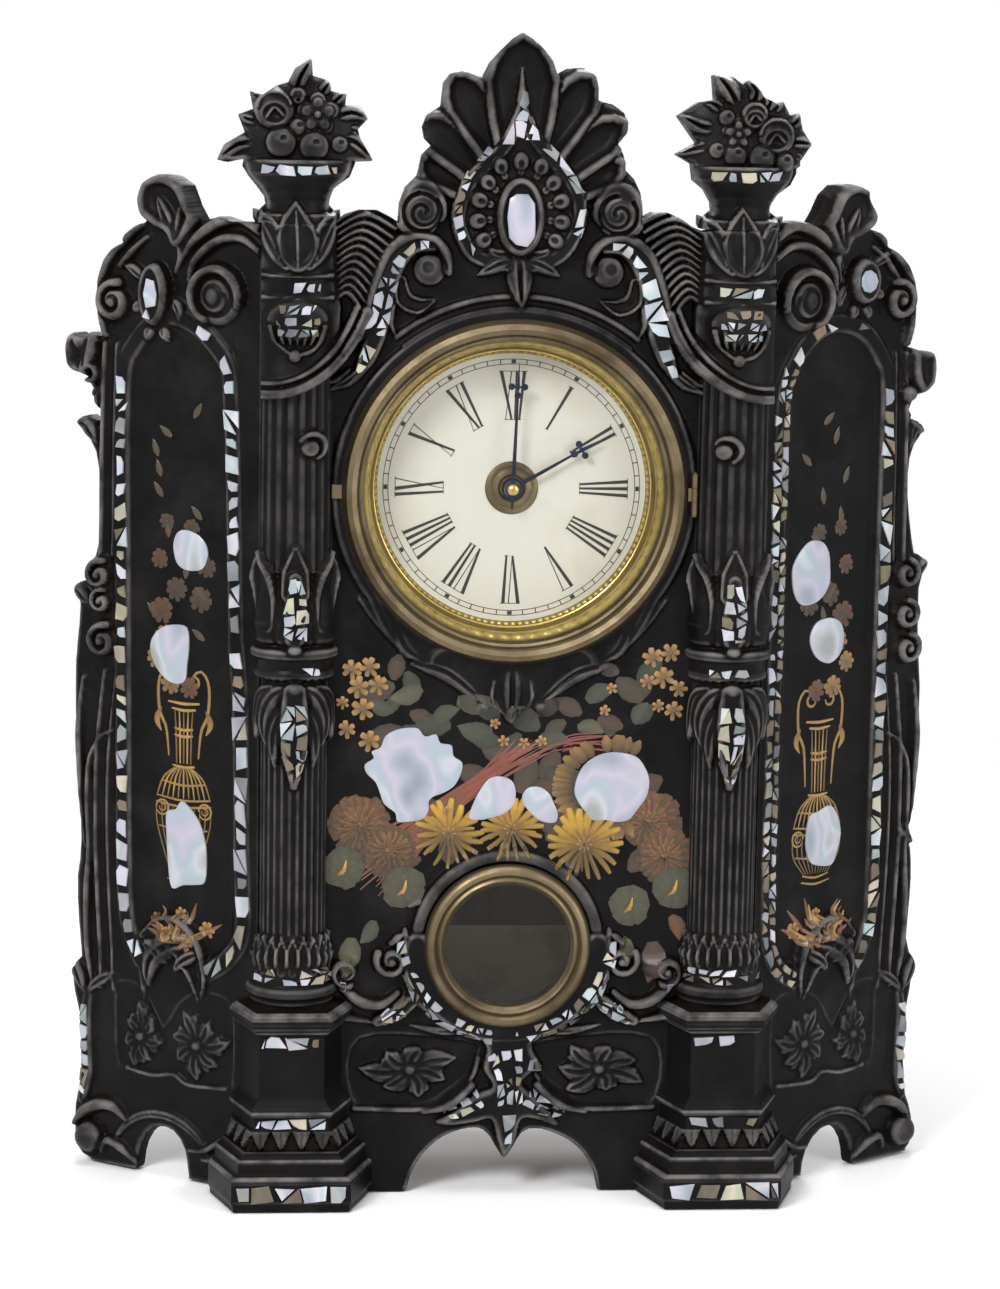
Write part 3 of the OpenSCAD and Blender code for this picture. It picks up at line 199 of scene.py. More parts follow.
class Relief:
    """A cast surface: heights in millimetres over a flat or rolled-out grid."""

    MARGIN = 3.0

    def __init__(self, a0, a1, b0, b1, step, place):
        self.step = step
        self.a = np.arange(a0 - self.MARGIN, a1 + self.MARGIN + step / 2, step)
        self.b = np.arange(b0 - self.MARGIN, b1 + self.MARGIN + step / 2, step)
        self.A, self.B = np.meshgrid(self.a, self.b)
        self.h = np.zeros_like(self.A)
        self.edge = np.full_like(self.A, 1e3)
        self.bounds = (a0, a1, b0, b1)
        self.place = place

    def window(self, p, pad):
        """The part of the grid within a pad of some points."""
        lo = np.min(p, 0) - pad
        hi = np.max(p, 0) + pad
        j0, j1 = np.searchsorted(self.a, (lo[0], hi[0]))
        i0, i1 = np.searchsorted(self.b, (lo[1], hi[1]))
        return slice(i0, i1), slice(j0, j1)

    def put(self, win, inside, z, how):
        """Raises the surface to z, stamps z over it or adds z to it."""
        h = self.h[win]
        if how == "max":
            h[...] = np.where(inside, np.maximum(h, z), h)
        elif how == "stamp":
            h[...] = np.where(inside, z, h)
        else:
            h += np.where(inside, z, 0)

    def form(self, outline, table, how="max", smooth=True):
        """Raises an outline; the table pairs distance in from the edge with height."""
        p = curve(outline, True) if smooth else np.asarray(outline, float)
        win = self.window(p, self.step)
        if self.h[win].size:
            d = signed(self.A[win], self.B[win], p)
            self.put(win, d > 0, np.interp(d, *zip(*table)), how)

    def boss(self, a, b, ra, rb, height, turn=0, how="max", base=0, power=0.5):
        """An oval swelling. The power rounds its top."""
        r = max(ra, rb)
        win = self.window([(a, b)], r)
        if self.h[win].size:
            x, y = self.A[win] - a, self.B[win] - b
            c, s = heading(turn)
            q = ((x * c + y * s) / ra) ** 2 + ((y * c - x * s) / rb) ** 2
            self.put(win, q < 1, base + height * np.clip(1 - q, 0, 1) ** power, how)

    def stroke(self, points, width, height, section=round_section, how="max", base=0, smooth=True):
        """A raised line. The half width and height may be lists of values along it."""
        p = curve(points) if smooth else np.asarray(points, float)
        reach = float(np.max(width))
        win = self.window(p, reach)
        if not self.h[win].size:
            return
        a, b = self.A[win], self.B[win]
        best = np.full(a.shape, 1e9)
        t = np.zeros(a.shape)
        s = lengths(p)
        r0, c0 = win[0].start, win[1].start
        for k in range(len(p) - 1):
            near = self.window(p[k:k + 2], reach)
            sub = slice(near[0].start - r0, near[0].stop - r0), slice(near[1].start - c0, near[1].stop - c0)
            x, y = a[sub] - p[k, 0], b[sub] - p[k, 1]
            dx, dy = p[k + 1] - p[k]
            f = np.clip((x * dx + y * dy) / (dx * dx + dy * dy + 1e-12), 0, 1)
            d = np.hypot(x - f * dx, y - f * dy)
            closer = d < best[sub]
            best[sub] = np.where(closer, d, best[sub])
            t[sub] = np.where(closer, s[k] + f * (s[k + 1] - s[k]), t[sub])
        t /= s[-1]
        q = best / (spread(t, width) + 1e-6)
        self.put(win, q < 1, base + spread(t, height) * section(np.minimum(q, 1)), how)

    def leaf(self, points, width, height, section=leaf_section, base=0, blunt=0.3):
        """A leaf along a spine, widest before its middle and pointed at its tip."""
        w = [width * v for v in (blunt, 0.8, 1, 0.95, 0.78, 0.5, 0.04)]
        z = [height * v for v in (0.55, 0.8, 0.95, 1, 1, 0.9, 0.6)]
        self.stroke(points, w, z, section, base=base)

    def petal(self, points, width, height):
        """A broad petal with a rolled rim round a hollow."""
        p = curve(points)
        s = lengths(p) / lengths(p)[-1]
        w = np.interp(s, (0, 0.25, 0.5, 0.72, 0.88, 0.96, 1),
                      np.multiply((0.25, 0.55, 0.85, 1, 0.8, 0.45, 0), width))
        out = normals(p) * w[:, None]
        ring = np.concatenate([p + out, (p - out)[::-1]])
        self.form(ring, [(0, height * 0.55), (0.8, height * 0.86), (2, height), (3.2, height * 0.86),
                         (4.6, height * 0.4), (7, height * 0.15), (12, height * 0.05)], "stamp", False)

    def scroll(self, a, b, r, height, start, turns, sense):
        """A band that winds in to an eye."""
        eye, width = 0.34, 0.24
        t = np.linspace(0, 1, 40)
        rad = r * (1 - width) * (1 - t) + r * eye * 0.7 * t
        ang = np.radians(start) + sense * t * turns * 2 * math.pi
        p = np.stack([a + rad * np.cos(ang), b + rad * np.sin(ang)], 1)
        self.stroke(p, [r * width, r * width, r * width * 0.7], [height, height, height * 0.9],
                    smooth=False)
        self.boss(a, b, r * eye, r * eye, height * 1.1)

    def finish(self, blur=1, rolled=2.4):
        """Softens the surface, rounds it over at its outline and finds its ridges."""
        self.h = blurred(self.h, blur)
        e = np.clip(self.edge, 0, rolled)
        self.h -= rolled - np.sqrt(np.clip(rolled**2 - (rolled - e) ** 2, 0, None))
        wide = blurred(self.h, max(2, int(round(2.2 / self.step))))
        self.ridge_height = np.clip((self.h - wide) / 0.55, -1, 1)

    def sample(self, grid, a, b):
        """A grid's values between its points."""
        i = np.clip((np.asarray(b) - self.b[0]) / self.step, 0, len(self.b) - 1.001)
        j = np.clip((np.asarray(a) - self.a[0]) / self.step, 0, len(self.a) - 1.001)
        i0, j0 = i.astype(int), j.astype(int)
        fi, fj = i - i0, j - j0
        return ((grid[i0, j0] * (1 - fj) + grid[i0, j0 + 1] * fj) * (1 - fi)
                + (grid[i0 + 1, j0] * (1 - fj) + grid[i0 + 1, j0 + 1] * fj) * fi)

    def height(self, a, b):
        return self.sample(self.h, a, b)

    def build(self, name, back=BACK):
        """The part of the grid inside its outline, as a closed mesh with a flat back."""
        a0, a1, b0, b1 = self.bounds
        s = np.minimum.reduce([self.edge, self.A - a0, a1 - self.A, self.B - b0, b1 - self.B])
        small = 0.15 * self.step
        s = np.where((s > -small) & (s < small), np.where(s > 0, small, -small), s)
        inside = s > 0
        # whole cells, then the cells that the outline cuts
        index = np.full(s.shape, -1)
        index[inside] = np.arange(inside.sum())
        points = np.stack([self.A[inside], self.B[inside]], 1)
        cells = inside[:-1, :-1].astype(int) + inside[:-1, 1:] + inside[1:, 1:] + inside[1:, :-1]
        i, j = np.nonzero(cells == 4)
        faces = np.stack([index[i, j], index[i, j + 1], index[i + 1, j + 1], index[i + 1, j]], 1).tolist()
        extra, cut, rim = [], {}, []
        for i, j in zip(*np.nonzero((cells > 0) & (cells < 4))):
            corners = ((i, j), (i, j + 1), (i + 1, j + 1), (i + 1, j))
            poly, marks = [], []
            for k in range(4):
                p, q = corners[k], corners[(k + 1) % 4]
                if inside[p]:
                    poly.append(index[p])
                if inside[p] != inside[q]:
                    key = (p, q) if p < q else (q, p)
                    if key not in cut:
                        f = s[p] / (s[p] - s[q])
                        extra.append((self.A[p] + f * (self.A[q] - self.A[p]),
                                      self.B[p] + f * (self.B[q] - self.B[p])))
                        cut[key] = len(points) + len(extra) - 1
                    poly.append(cut[key])
                    marks.append((len(poly) - 1, inside[p]))
            faces.append([int(v) for v in poly])
            for m, leaving in marks:
                if leaving:
                    rim.append((poly[m], poly[(m + 1) % len(poly)]))
        flat = np.concatenate([points, np.array(extra).reshape(-1, 2)])
        h = self.sample(self.h, flat[:, 0], flat[:, 1])
        front = self.place(flat[:, 0], flat[:, 1], h)
        # a wall round the rim, then the flat back
        lower = np.unique(np.array(rim))
        where = {int(v): len(flat) + k for k, v in enumerate(lower)}
        low = self.place(flat[lower, 0], flat[lower, 1], np.full(len(lower), float(back)))
        for p, q in rim:
            faces.append([int(p), where[int(p)], where[int(q)], int(q)][::-1])
        slot = {int(v): k for k, v in enumerate(lower)}
        res = delaunay_2d_cdt([Vector(flat[v]) for v in lower],
                              [(slot[int(p)], slot[int(q)]) for p, q in rim], [], 2, 1e-7, True)
        source = [o[0] if o else None for o in res[3]]
        mid = np.array([np.mean([res[0][v] for v in f], 0) for f in res[2]])
        keep = self.sample(s, mid[:, 0], mid[:, 1]) > -0.02
        for f, ok in zip(res[2], keep):
            if ok and all(source[v] is not None for v in f):
                faces.append([where[int(lower[source[v]])] for v in f][::-1])
        ridge_height = np.concatenate([self.sample(self.ridge_height, flat[:, 0], flat[:, 1]), np.zeros(len(lower))])
        obj = new_mesh(name, np.concatenate([front, low]), faces)
        paint(obj, "ridge_height", ridge_height)
        return obj


# Meshes
def new_mesh(name, points, faces, smooth=35):
    """A mesh object from points in millimetres, its edges sharp above an angle in degrees."""
    mesh = bpy.data.meshes.new(name)
    mesh.from_pydata((np.asarray(points, float) * MM).tolist(), [], faces)
    mesh.validate(clean_customdata=False)
    bm = bmesh.new()
    bm.from_mesh(mesh)
    bmesh.ops.recalc_face_normals(bm, faces=bm.faces)
    bm.to_mesh(mesh)
    bm.free()
    mesh.shade_smooth()
    mesh.set_sharp_from_angle(angle=math.radians(smooth))
    obj = bpy.data.objects.new(name, mesh)
    bpy.context.collection.objects.link(obj)
    return obj


def paint(obj, name, values):
    """Stores one value or colour per point for the materials to read."""
    values = np.asarray(values, np.float32)
    if values.ndim == 1:
        obj.data.attributes.new(name, "FLOAT", "POINT").data.foreach_set("value", values)
    else:
        obj.data.attributes.new(name, "FLOAT_COLOR", "POINT").data.foreach_set("color", values.ravel())


# Places on the object: a runs sideways, b is the height above the shelf and h stands off the surface
def on_field(a, b, h):
    return np.stack([a, FACE_Y - h, b], -1)


def on_wing(side):
    c, s = math.cos(WING_TURN), math.sin(WING_TURN)
    return lambda a, b, h: np.stack([side * (WING_X + a * c + h * s), FACE_Y + a * s - h * c, b + 0 * a],
                                    -1)


def on_column(side, r):
    return lambda a, b, h: np.stack([side * COLUMN_X + (r + h) * np.sin(a / r),
                                     FACE_Y - (r + h) * np.cos(a / r), b + 0 * a], -1)


# Materials
def material(name):
    mat = bpy.data.materials.new(name)
    mat.use_nodes = True
    tree = mat.node_tree
    bsdf = tree.nodes["Principled BSDF"]
    return mat, tree, bsdf


def node(tree, kind, **values):
    n = tree.nodes.new(kind)
    for k, v in values.items():
        if hasattr(n, k):
            setattr(n, k, v)
        else:
            n.inputs[k.replace("_", " ")].default_value = v
    return n


def noise(tree, scale, detail=4, rough=0.55, stretch=None):
    co = node(tree, "ShaderNodeTexCoord")
    n = node(tree, "ShaderNodeTexNoise", Scale=scale, Detail=detail, Roughness=rough)
    if stretch:
        m = node(tree, "ShaderNodeMapping")
        m.inputs["Scale"].default_value = stretch
        tree.links.new(co.outputs["Object"], m.inputs["Vector"])
        tree.links.new(m.outputs["Vector"], n.inputs["Vector"])
    else:
        tree.links.new(co.outputs["Object"], n.inputs["Vector"])
    return n.outputs["Fac"]


def ramp(tree, source, stops):
    r = node(tree, "ShaderNodeValToRGB")
    els = r.color_ramp.elements
    while len(els) < len(stops):
        els.new(0.5)
    for e, (pos, col) in zip(els, stops):
        e.position = pos
        e.color = (*col, 1) if len(col) == 3 else col
    tree.links.new(source, r.inputs["Fac"])
    return r.outputs["Color"]


def mix(tree, fac, one, two, kind="MIX"):
    m = node(tree, "ShaderNodeMix", data_type="RGBA", blend_type=kind)
    for value, socket in ((fac, m.inputs[0]), (one, m.inputs[6]), (two, m.inputs[7])):
        if isinstance(value, bpy.types.NodeSocket):
            tree.links.new(value, socket)
        elif isinstance(value, (int, float)):
            socket.default_value = value
        else:
            socket.default_value = (*value, 1)
    return m.outputs[2]


def bump(tree, bsdf, source, strength, distance):
    b = node(tree, "ShaderNodeBump", Strength=strength, Distance=distance)
    tree.links.new(source, b.inputs["Height"])
    tree.links.new(b.outputs["Normal"], bsdf.inputs["Normal"])


def attribute(tree, name, output="Color"):
    return node(tree, "ShaderNodeAttribute", attribute_name=name).outputs[output]


def remap(tree, source, low, high, to_low, to_high):
    m = node(tree, "ShaderNodeMapRange", From_Min=low, From_Max=high, To_Min=to_low, To_Max=to_high)
    tree.links.new(source, m.inputs["Value"])
    return m.outputs["Result"]


def settle(shader, **values):
    """Constants on a shader's own sockets, each named with _ for a space."""
    for k, v in values.items():
        shader.inputs[k.replace("_", " ")].default_value = v


def japan():
    """Black varnish on cast iron: dust and a painted highlight on its ridges, brown in its hollows."""
    mat, tree, bsdf = material("japanned_iron")
    ridge_height = attribute(tree, "ridge_height", "Fac")
    cloud = noise(tree, 45, 5)
    black = ramp(tree, cloud, [(0.3, (0.0034, 0.0032, 0.0038)), (0.7, (0.0082, 0.0074, 0.0073))])
    brown = mix(tree, remap(tree, ridge_height, -1, 0, 1, 0), black, (0.0055, 0.0036, 0.0024))
    veil = remap(tree, noise(tree, 28, 6, 0.65), 0.52, 0.75, 0, 0.6)
    dull = mix(tree, veil, brown, (0.018, 0.0165, 0.0155))
    # light grey dust on the ridges, which also serves as a painted highlight
    dust_and_highlight = node(tree, "ShaderNodeMath", operation="MULTIPLY")
    tree.links.new(remap(tree, ridge_height, 0.08, 0.9, 0, 1), dust_and_highlight.inputs[0])
    tree.links.new(remap(tree, noise(tree, 90, 4), 0.35, 0.62, 0.25, 1), dust_and_highlight.inputs[1])
    tree.links.new(mix(tree, dust_and_highlight.outputs[0], dull, (0.135, 0.128, 0.124)), bsdf.inputs["Base Color"])
    tree.links.new(remap(tree, cloud, 0.3, 0.7, 0.3, 0.5), bsdf.inputs["Roughness"])
    settle(bsdf, Specular_IOR_Level=0.07)
    bump(tree, bsdf, noise(tree, 420, 3, 0.6), 0.25, 0.0004)
    return mat


def pearl():
    """Mother of pearl: pale and banded, times the tone of each piece."""
    mat, tree, bsdf = material("pearl")
    bands = noise(tree, 40, 1.3, 0.45, (1.3, 1.0, 0.9))
    hue = ramp(tree, bands, [(0.3, (0.21, 0.23, 0.27)), (0.40, (0.33, 0.345, 0.38)),
                             (0.45, (0.42, 0.39, 0.435)), (0.50, (0.35, 0.355, 0.415)),
                             (0.55, (0.31, 0.37, 0.385)), (0.60, (0.43, 0.44, 0.465)),
                             (0.70, (0.27, 0.28, 0.265))])
    tree.links.new(mix(tree, 1.0, hue, attribute(tree, "tone"), "MULTIPLY"), bsdf.inputs["Base Color"])
    settle(bsdf, Roughness=0.28, Specular_IOR_Level=0.45)
    bump(tree, bsdf, noise(tree, 260, 3), 0.2, 0.0003)
    return mat


def metal(name, bright, dark, rough=(0.25, 0.5), scale=70, grain=0.15, edge=None):
    """Aged metal: two tones of tarnish, fine handling marks and, with an edge tone, darker hollows."""
    mat, tree, bsdf = material(name)
    patches = noise(tree, scale, 6, 0.6)
    colour = ramp(tree, patches, [(0.3, dark), (0.62, bright)])
    if edge:
        colour = mix(tree, remap(tree, attribute(tree, "ridge_height", "Fac"), -0.5, 0.4, 0, 1), edge, colour)
    tree.links.new(colour, bsdf.inputs["Base Color"])
    tree.links.new(remap(tree, patches, 0.3, 0.7, rough[1], rough[0]), bsdf.inputs["Roughness"])
    settle(bsdf, Metallic=1.0)
    bump(tree, bsdf, noise(tree, scale * 9, 3), grain, 0.0002)
    return mat


def wood(name, light, dark):
    """Wood with its grain upright."""
    mat, tree, bsdf = material(name)
    grain = noise(tree, 38, 8, 0.65, (9, 9, 0.35))
    tree.links.new(ramp(tree, grain, [(0.32, dark), (0.52, light), (0.7, dark)]), bsdf.inputs["Base Color"])
    settle(bsdf, Roughness=0.6)
    bump(tree, bsdf, grain, 0.3, 0.0004)
    return mat


def paper(name, light, stain, scale, rough):
    """Paper or old paint with stains."""
    mat, tree, bsdf = material(name)
    spots = noise(tree, scale, 7, 0.6)
    tree.links.new(ramp(tree, spots, [(0.28, stain), (0.5, light), (1.0, light)]),
                   bsdf.inputs["Base Color"])
    settle(bsdf, Roughness=rough)
    bump(tree, bsdf, noise(tree, 300, 3), 0.1, 0.0002)
    return mat


def glass():
    """Clear glass: a mirror that is faint from in front and stronger at a slant."""
    mat, tree, bsdf = material("clear_glass")
    settle(bsdf, Base_Color=(0.9, 0.9, 0.9, 1), Metallic=1.0, Roughness=0.03)
    clear = node(tree, "ShaderNodeBsdfTransparent", Color=(0.97, 0.98, 0.97, 1))
    slant = node(tree, "ShaderNodeMath", operation="POWER")
    slant.inputs[1].default_value = 4.0
    tree.links.new(node(tree, "ShaderNodeLayerWeight").outputs["Facing"], slant.inputs[0])
    share = node(tree, "ShaderNodeMath", operation="MULTIPLY_ADD")
    share.inputs[1].default_value = 0.3
    share.inputs[2].default_value = 0.01
    tree.links.new(slant.outputs[0], share.inputs[0])
    shade(tree, share.outputs[0], clear, bsdf, "Material Output")
    return mat


def shade(tree, share, one, two, output):
    """Sends a blend of two shaders to an output."""
    blend = node(tree, "ShaderNodeMixShader")
    tree.links.new(share, blend.inputs["Fac"])
    tree.links.new(one.outputs[0], blend.inputs[1])
    tree.links.new(two.outputs[0], blend.inputs[2])
    tree.links.new(blend.outputs[0], tree.nodes[output].inputs["Surface"])


def painted():
    """Oil paint laid on the varnish, worn thin in places."""
    mat, tree, bsdf = material("flower_paint")
    worn = remap(tree, noise(tree, 150, 5), 0.38, 0.62, 0.72, 1)
    tree.links.new(mix(tree, worn, (0.03, 0.022, 0.016), attribute(tree, "tint")),
                   bsdf.inputs["Base Color"])
    settle(bsdf, Roughness=0.42)
    bump(tree, bsdf, noise(tree, 500, 2), 0.15, 0.0002)
    return mat


def ink_black():
    mat, _, bsdf = material("dial_ink")
    settle(bsdf, Base_Color=(0.012, 0.011, 0.010, 1), Roughness=0.4)
    return mat


IRON = japan()
PEARL = pearl()
BRASS = metal("case_brass", (0.185, 0.145, 0.086), (0.075, 0.053, 0.032), (0.36, 0.6), 40, 0.3)
GILT = metal("gilt", (0.66, 0.52, 0.17), (0.42, 0.29, 0.08), (0.25, 0.42), 90, 0.2,
             edge=(0.22, 0.14, 0.035))
MOVEMENT = metal("movement_brass", (0.66, 0.50, 0.22), (0.45, 0.31, 0.12), (0.22, 0.4), 50)
STEEL = metal("steel", (0.48, 0.48, 0.48), (0.30, 0.28, 0.26), (0.25, 0.45), 80)
SPRING = metal("spring_steel", (0.16, 0.17, 0.22), (0.09, 0.09, 0.11), (0.25, 0.4), 80)
BLUED = metal("blued_steel", (0.035, 0.04, 0.075), (0.012, 0.014, 0.028), (0.22, 0.35), 90, 0.05)
CASE_WOOD = wood("case_wood", (0.105, 0.055, 0.028), (0.06, 0.030, 0.015))
INNER_WOOD = wood("inner_wood", (0.24, 0.15, 0.085), (0.17, 0.10, 0.055))
LABEL = paper("label_paper", (1.0, 0.84, 0.64), (0.72, 0.56, 0.40), 30, 0.85)
DIAL = paper("dial_paint", (0.60, 0.565, 0.51), (0.49, 0.425, 0.32), 17, 0.42)
GLASS = glass()
PAINT = painted()
INK = ink_black()

SLOTS = {"japanned_iron": IRON, "pearl": PEARL, "case_brass": BRASS, "gilt": GILT,
         "movement_brass": MOVEMENT, "clear_glass": GLASS, "dark_glass": GLASS, "dial_paint": DIAL,
         "blued_steel": BLUED, "steel": STEEL, "spring_steel": SPRING, "case_wood": CASE_WOOD,
         "inner_wood": INNER_WOOD, "label_paper": LABEL}


def dress(obj, mat, *nodes, slot=None):
    """A finished piece of the case: its material and the nodes that it replaces; its slot is not used."""
    obj.data.materials.append(mat)
    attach(obj, "clock_case")
    if nodes:
        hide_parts(*nodes)


def dress_iron(obj, replaced="iron_front"):
    dress(obj, IRON, replaced, slot="japanned_iron")


# The front's outline, as (x, z) on the field's face
CREST = [(-112, 437), (-84, 437), (-80, 437), (-76, 440), (-70, 442), (-62, 442), (-56, 439), (-53, 437),
         (-52.5, 445), (-50, 452), (-45, 457), (-44, 461), (-43, 466), (-39, 470), (-42, 473), (-43, 478),
         (-41, 483), (-35, 487), (-34.5, 492), (-34, 497), (-31, 501), (-26, 502), (-17, 500), (-14, 506),
         (-9, 511.5), (-4, 516.5), (0, 519), (4, 516.5), (9, 512), (13, 507), (15, 501.5), (20, 504),
         (27, 504.5), (32, 501), (33, 496), (33, 490.5), (40, 489), (45, 485.5), (47, 481), (46, 477),
         (42, 472), (45, 468), (46, 464), (46, 461), (50, 457), (53, 451), (54, 445), (54, 441), (58, 443),
         (64, 443), (70, 440.5), (75, 437), (80, 435), (84, 436), (112, 437)]
ARCH = [(-44, -3), (-43.5, 2), (-41, 10), (-36, 18), (-29, 24.5), (-20, 28.5), (-12, 29.5), (-7, 26.5),
        (-3, 20), (0.5, 15.5), (4, 20), (8, 26.5), (13, 29), (20, 28), (29, 24), (36, 18), (41, 10),
        (43, 2), (43.5, -3)]
# The field's half width and the height of its shoulders; just under the shelf, so that z = 0 lies inside
FIELD_HALF, FIELD_TOP, UNDER = 112.3, 437, -0.001
DOOR_HOLE, WINDOW_HOLE = 68.5, 31.3


def front_edge(r):
    """How far in from its outline each point lies; edges at the wings and the shelf aren't rounded."""
    outline = [(-FIELD_HALF, UNDER), (-FIELD_HALF, FIELD_TOP), *CREST[1:-1], (FIELD_HALF, FIELD_TOP),
               (FIELD_HALF, UNDER)]
    e = signed(r.A, r.B, outline)
    e = np.where(np.abs(r.A) > 108, np.maximum(e, 0) + np.where(r.B < FIELD_TOP, 6, 0), e)
    e = np.where(r.B < 2, np.minimum(e + 6, 6), e)
    for hole in (circle(0, DIAL_Z, DOOR_HOLE), circle(0, WINDOW_Z, WINDOW_HOLE), curve(ARCH)):
        e = np.minimum(e, -signed(r.A, r.B, hole))
    r.edge = e


def front_motifs(r):
    """All relief of the flat middle field, from the crest down to its foot."""
    for s in (-1, 1):
        # petals of the crest, the outer ones first
        r.petal(at(s, (14, 440), (28, 455), (46, 464.5)), 9.5, 6.5)
        r.petal(at(s, (10, 444), (26, 466), (46.5, 482.5)), 10.5, 7)
        r.petal(at(s, (6, 450), (17, 478), (31.5, 503)), 11.5, 7.4)
    r.petal([(0, 440), (0, 480), (0, 520)], 17, 8)
    for s in (-1, 1):
        r.stroke(at(s, (0.3, 504), (0.6, 497), (1.2, 490)), [0.3, 0.9, 1.4], [1.5, 4, 5])
    # pointed arch with bosses round the oval
    ogee = [(0, 500), (-2, 489), (-6, 479), (-11, 471), (-17, 465), (-23, 459), (-28, 450), (-30, 440),
            (-28, 430), (-22, 421), (-12, 417), (0, 416), (12, 417), (21, 422), (27, 431), (29.5, 441),
            (28, 451), (23, 460), (17, 466), (11, 473), (6, 480), (2, 489)]
    r.form(ogee, [(0, 4.4), (1, 5.6), (1.8, 5.2), (6, 4.9), (6.8, 3.4), (9, 2.6), (30, 3.2)], "stamp")
    for x, z in ((0, 464), (9, 462), (14.5, 455), (18, 447), (18.5, 438), (16, 429.5)):
        for s in ((1,) if x == 0 else (-1, 1)):
            turn = math.degrees(math.atan2(z - 440, s * x))
            r.boss(s * x, z, 4.4, 3.7, 5.4, turn, base=2.4)
            c, d = heading(turn)
            r.boss(s * x - 1.3 * c, z - 1.3 * d, 2.3, 1.9, -1.7, turn, "add", power=1)
            r.leaf([(s * x - 3 * c, z - 3 * d), (s * x - 8 * c, z - 7 * d)], 2.2, 3.4, base=2)
    r.form(circle(0, 440, 10.8, 40) * (1, 1.6) - (0, 440 * 0.6),
           [(0, 4), (0.9, 9.2), (2.2, 10.4), (3.4, 8.8), (4, 7.6), (12, 7.6)], "stamp")
    # hanging leaf and its sides
    for s in (-1, 1):
        r.leaf(at(s, (2, 421), (9, 419.5), (18, 414.5)), 4, 6.5, base=0.5)
        r.leaf(at(s, (3, 424), (10, 424), (14, 427)), 3, 6, base=0.5)
    r.leaf([(0, 424), (0.4, 412), (1.5, 400)], 6.2, 8.2, blunt=0.5)
    for s in (-1, 1):
        # ears
        ex, ez = s * 42.7, 442.5
        r.form([(ex + 11 * math.cos(t) + (2 if math.sin(t) < -0.4 else 0) * s,
                 ez + (13.6 if math.sin(t) > 0 else 12.6) * math.sin(t))
                for t in np.linspace(0, 2 * math.pi, 24, endpoint=False)],
               [(0, 4.5), (1.2, 7.4), (2.6, 8), (12, 8.2)])
        r.stroke(arc(ex, ez - 1, 8.3, 100, 400), 1.1, -2.6, soft_section, "add")
        t = np.linspace(0, 1, 30)
        ang = (0.5 + 2.6 * t) * math.pi
        rad = 6.4 * (1 - t) + 1.6
        r.stroke(np.stack([ex + s * rad * np.cos(ang), ez - 1 + rad * np.sin(ang)], 1), 0.8, -1.9,
                 soft_section, "add")
        r.boss(ex, ez - 1, 7.6, 7.6, 1.6, how="add", power=0.6)
        # lower scroll with its round end
        hook = at(s, (31, 416), (32, 424), (38, 430), (47, 431), (56, 425), (61, 415), (64.5, 404),
                  (66, 396), (69, 387))
        r.stroke(hook, [2.2, 2.4, 2.6, 3, 3, 3, 2.6, 2.4, 2.2], [8, 9, 9.5, 9.5, 9, 9, 9, 9, 8])
        r.boss(s * 39, 416.5, 7.2, 7.2, 9)
        r.boss(s * 40, 418, 3.2, 3.2, -1.5, how="add", power=1)
        r.stroke(arc(s * 39, 416.5, 7.6, 90 - s * 30, 90 + s * 210), 0.9, -2, soft_section, "add")
        r.stroke(at(s, (51, 412), (50, 404), (44, 401), (37, 403.5)), [2, 4.2, 4, 1], [6, 8.5, 8, 5],
                 cup_section)
        r.stroke(at(s, (54, 402), (56, 395), (54, 389)), [1, 2.2, 0.6], [6, 7, 4])
        # bed of the pearl chips beside the scroll
        bed = at(s, (38, 427.5), (46, 427), (53, 420), (57.5, 409), (60, 398), (62.5, 388), (66, 378),
                 (71, 368.5))
        r.stroke(bed, [3.4, 4, 4.6, 5.2, 5.4, 5.2, 4.2, 1.5], [6, 6.4, 6.6, 6.8, 6.8, 6.4, 6, 4.5],
                 flat_section)
        r.stroke(at(s, (66, 376), (74, 368), (84, 363.5)), [1, 3, 0.8], [5, 7.5, 6], leaf_section)
        r.stroke(at(s, (73, 373), (79, 368), (85, 367)), [0.8, 1.8, 0.6], [4, 6, 5])
    # ridges over the door
    for rad, hh in ((80.5, 2.4), (86, 2.6)):
        r.stroke(arc(0, DIAL_Z, rad, 52, 128, 30), 1.6, hh)
    r.stroke(arc(0, DIAL_Z, 77.5, 0, 360, 90), 3.5, 3.2, flat_section)
    for s in (-1, 1):
        shoulder(r, s)
        lower_field(r, s)
    bracket(r)
    panels(r)
    pendant(r)


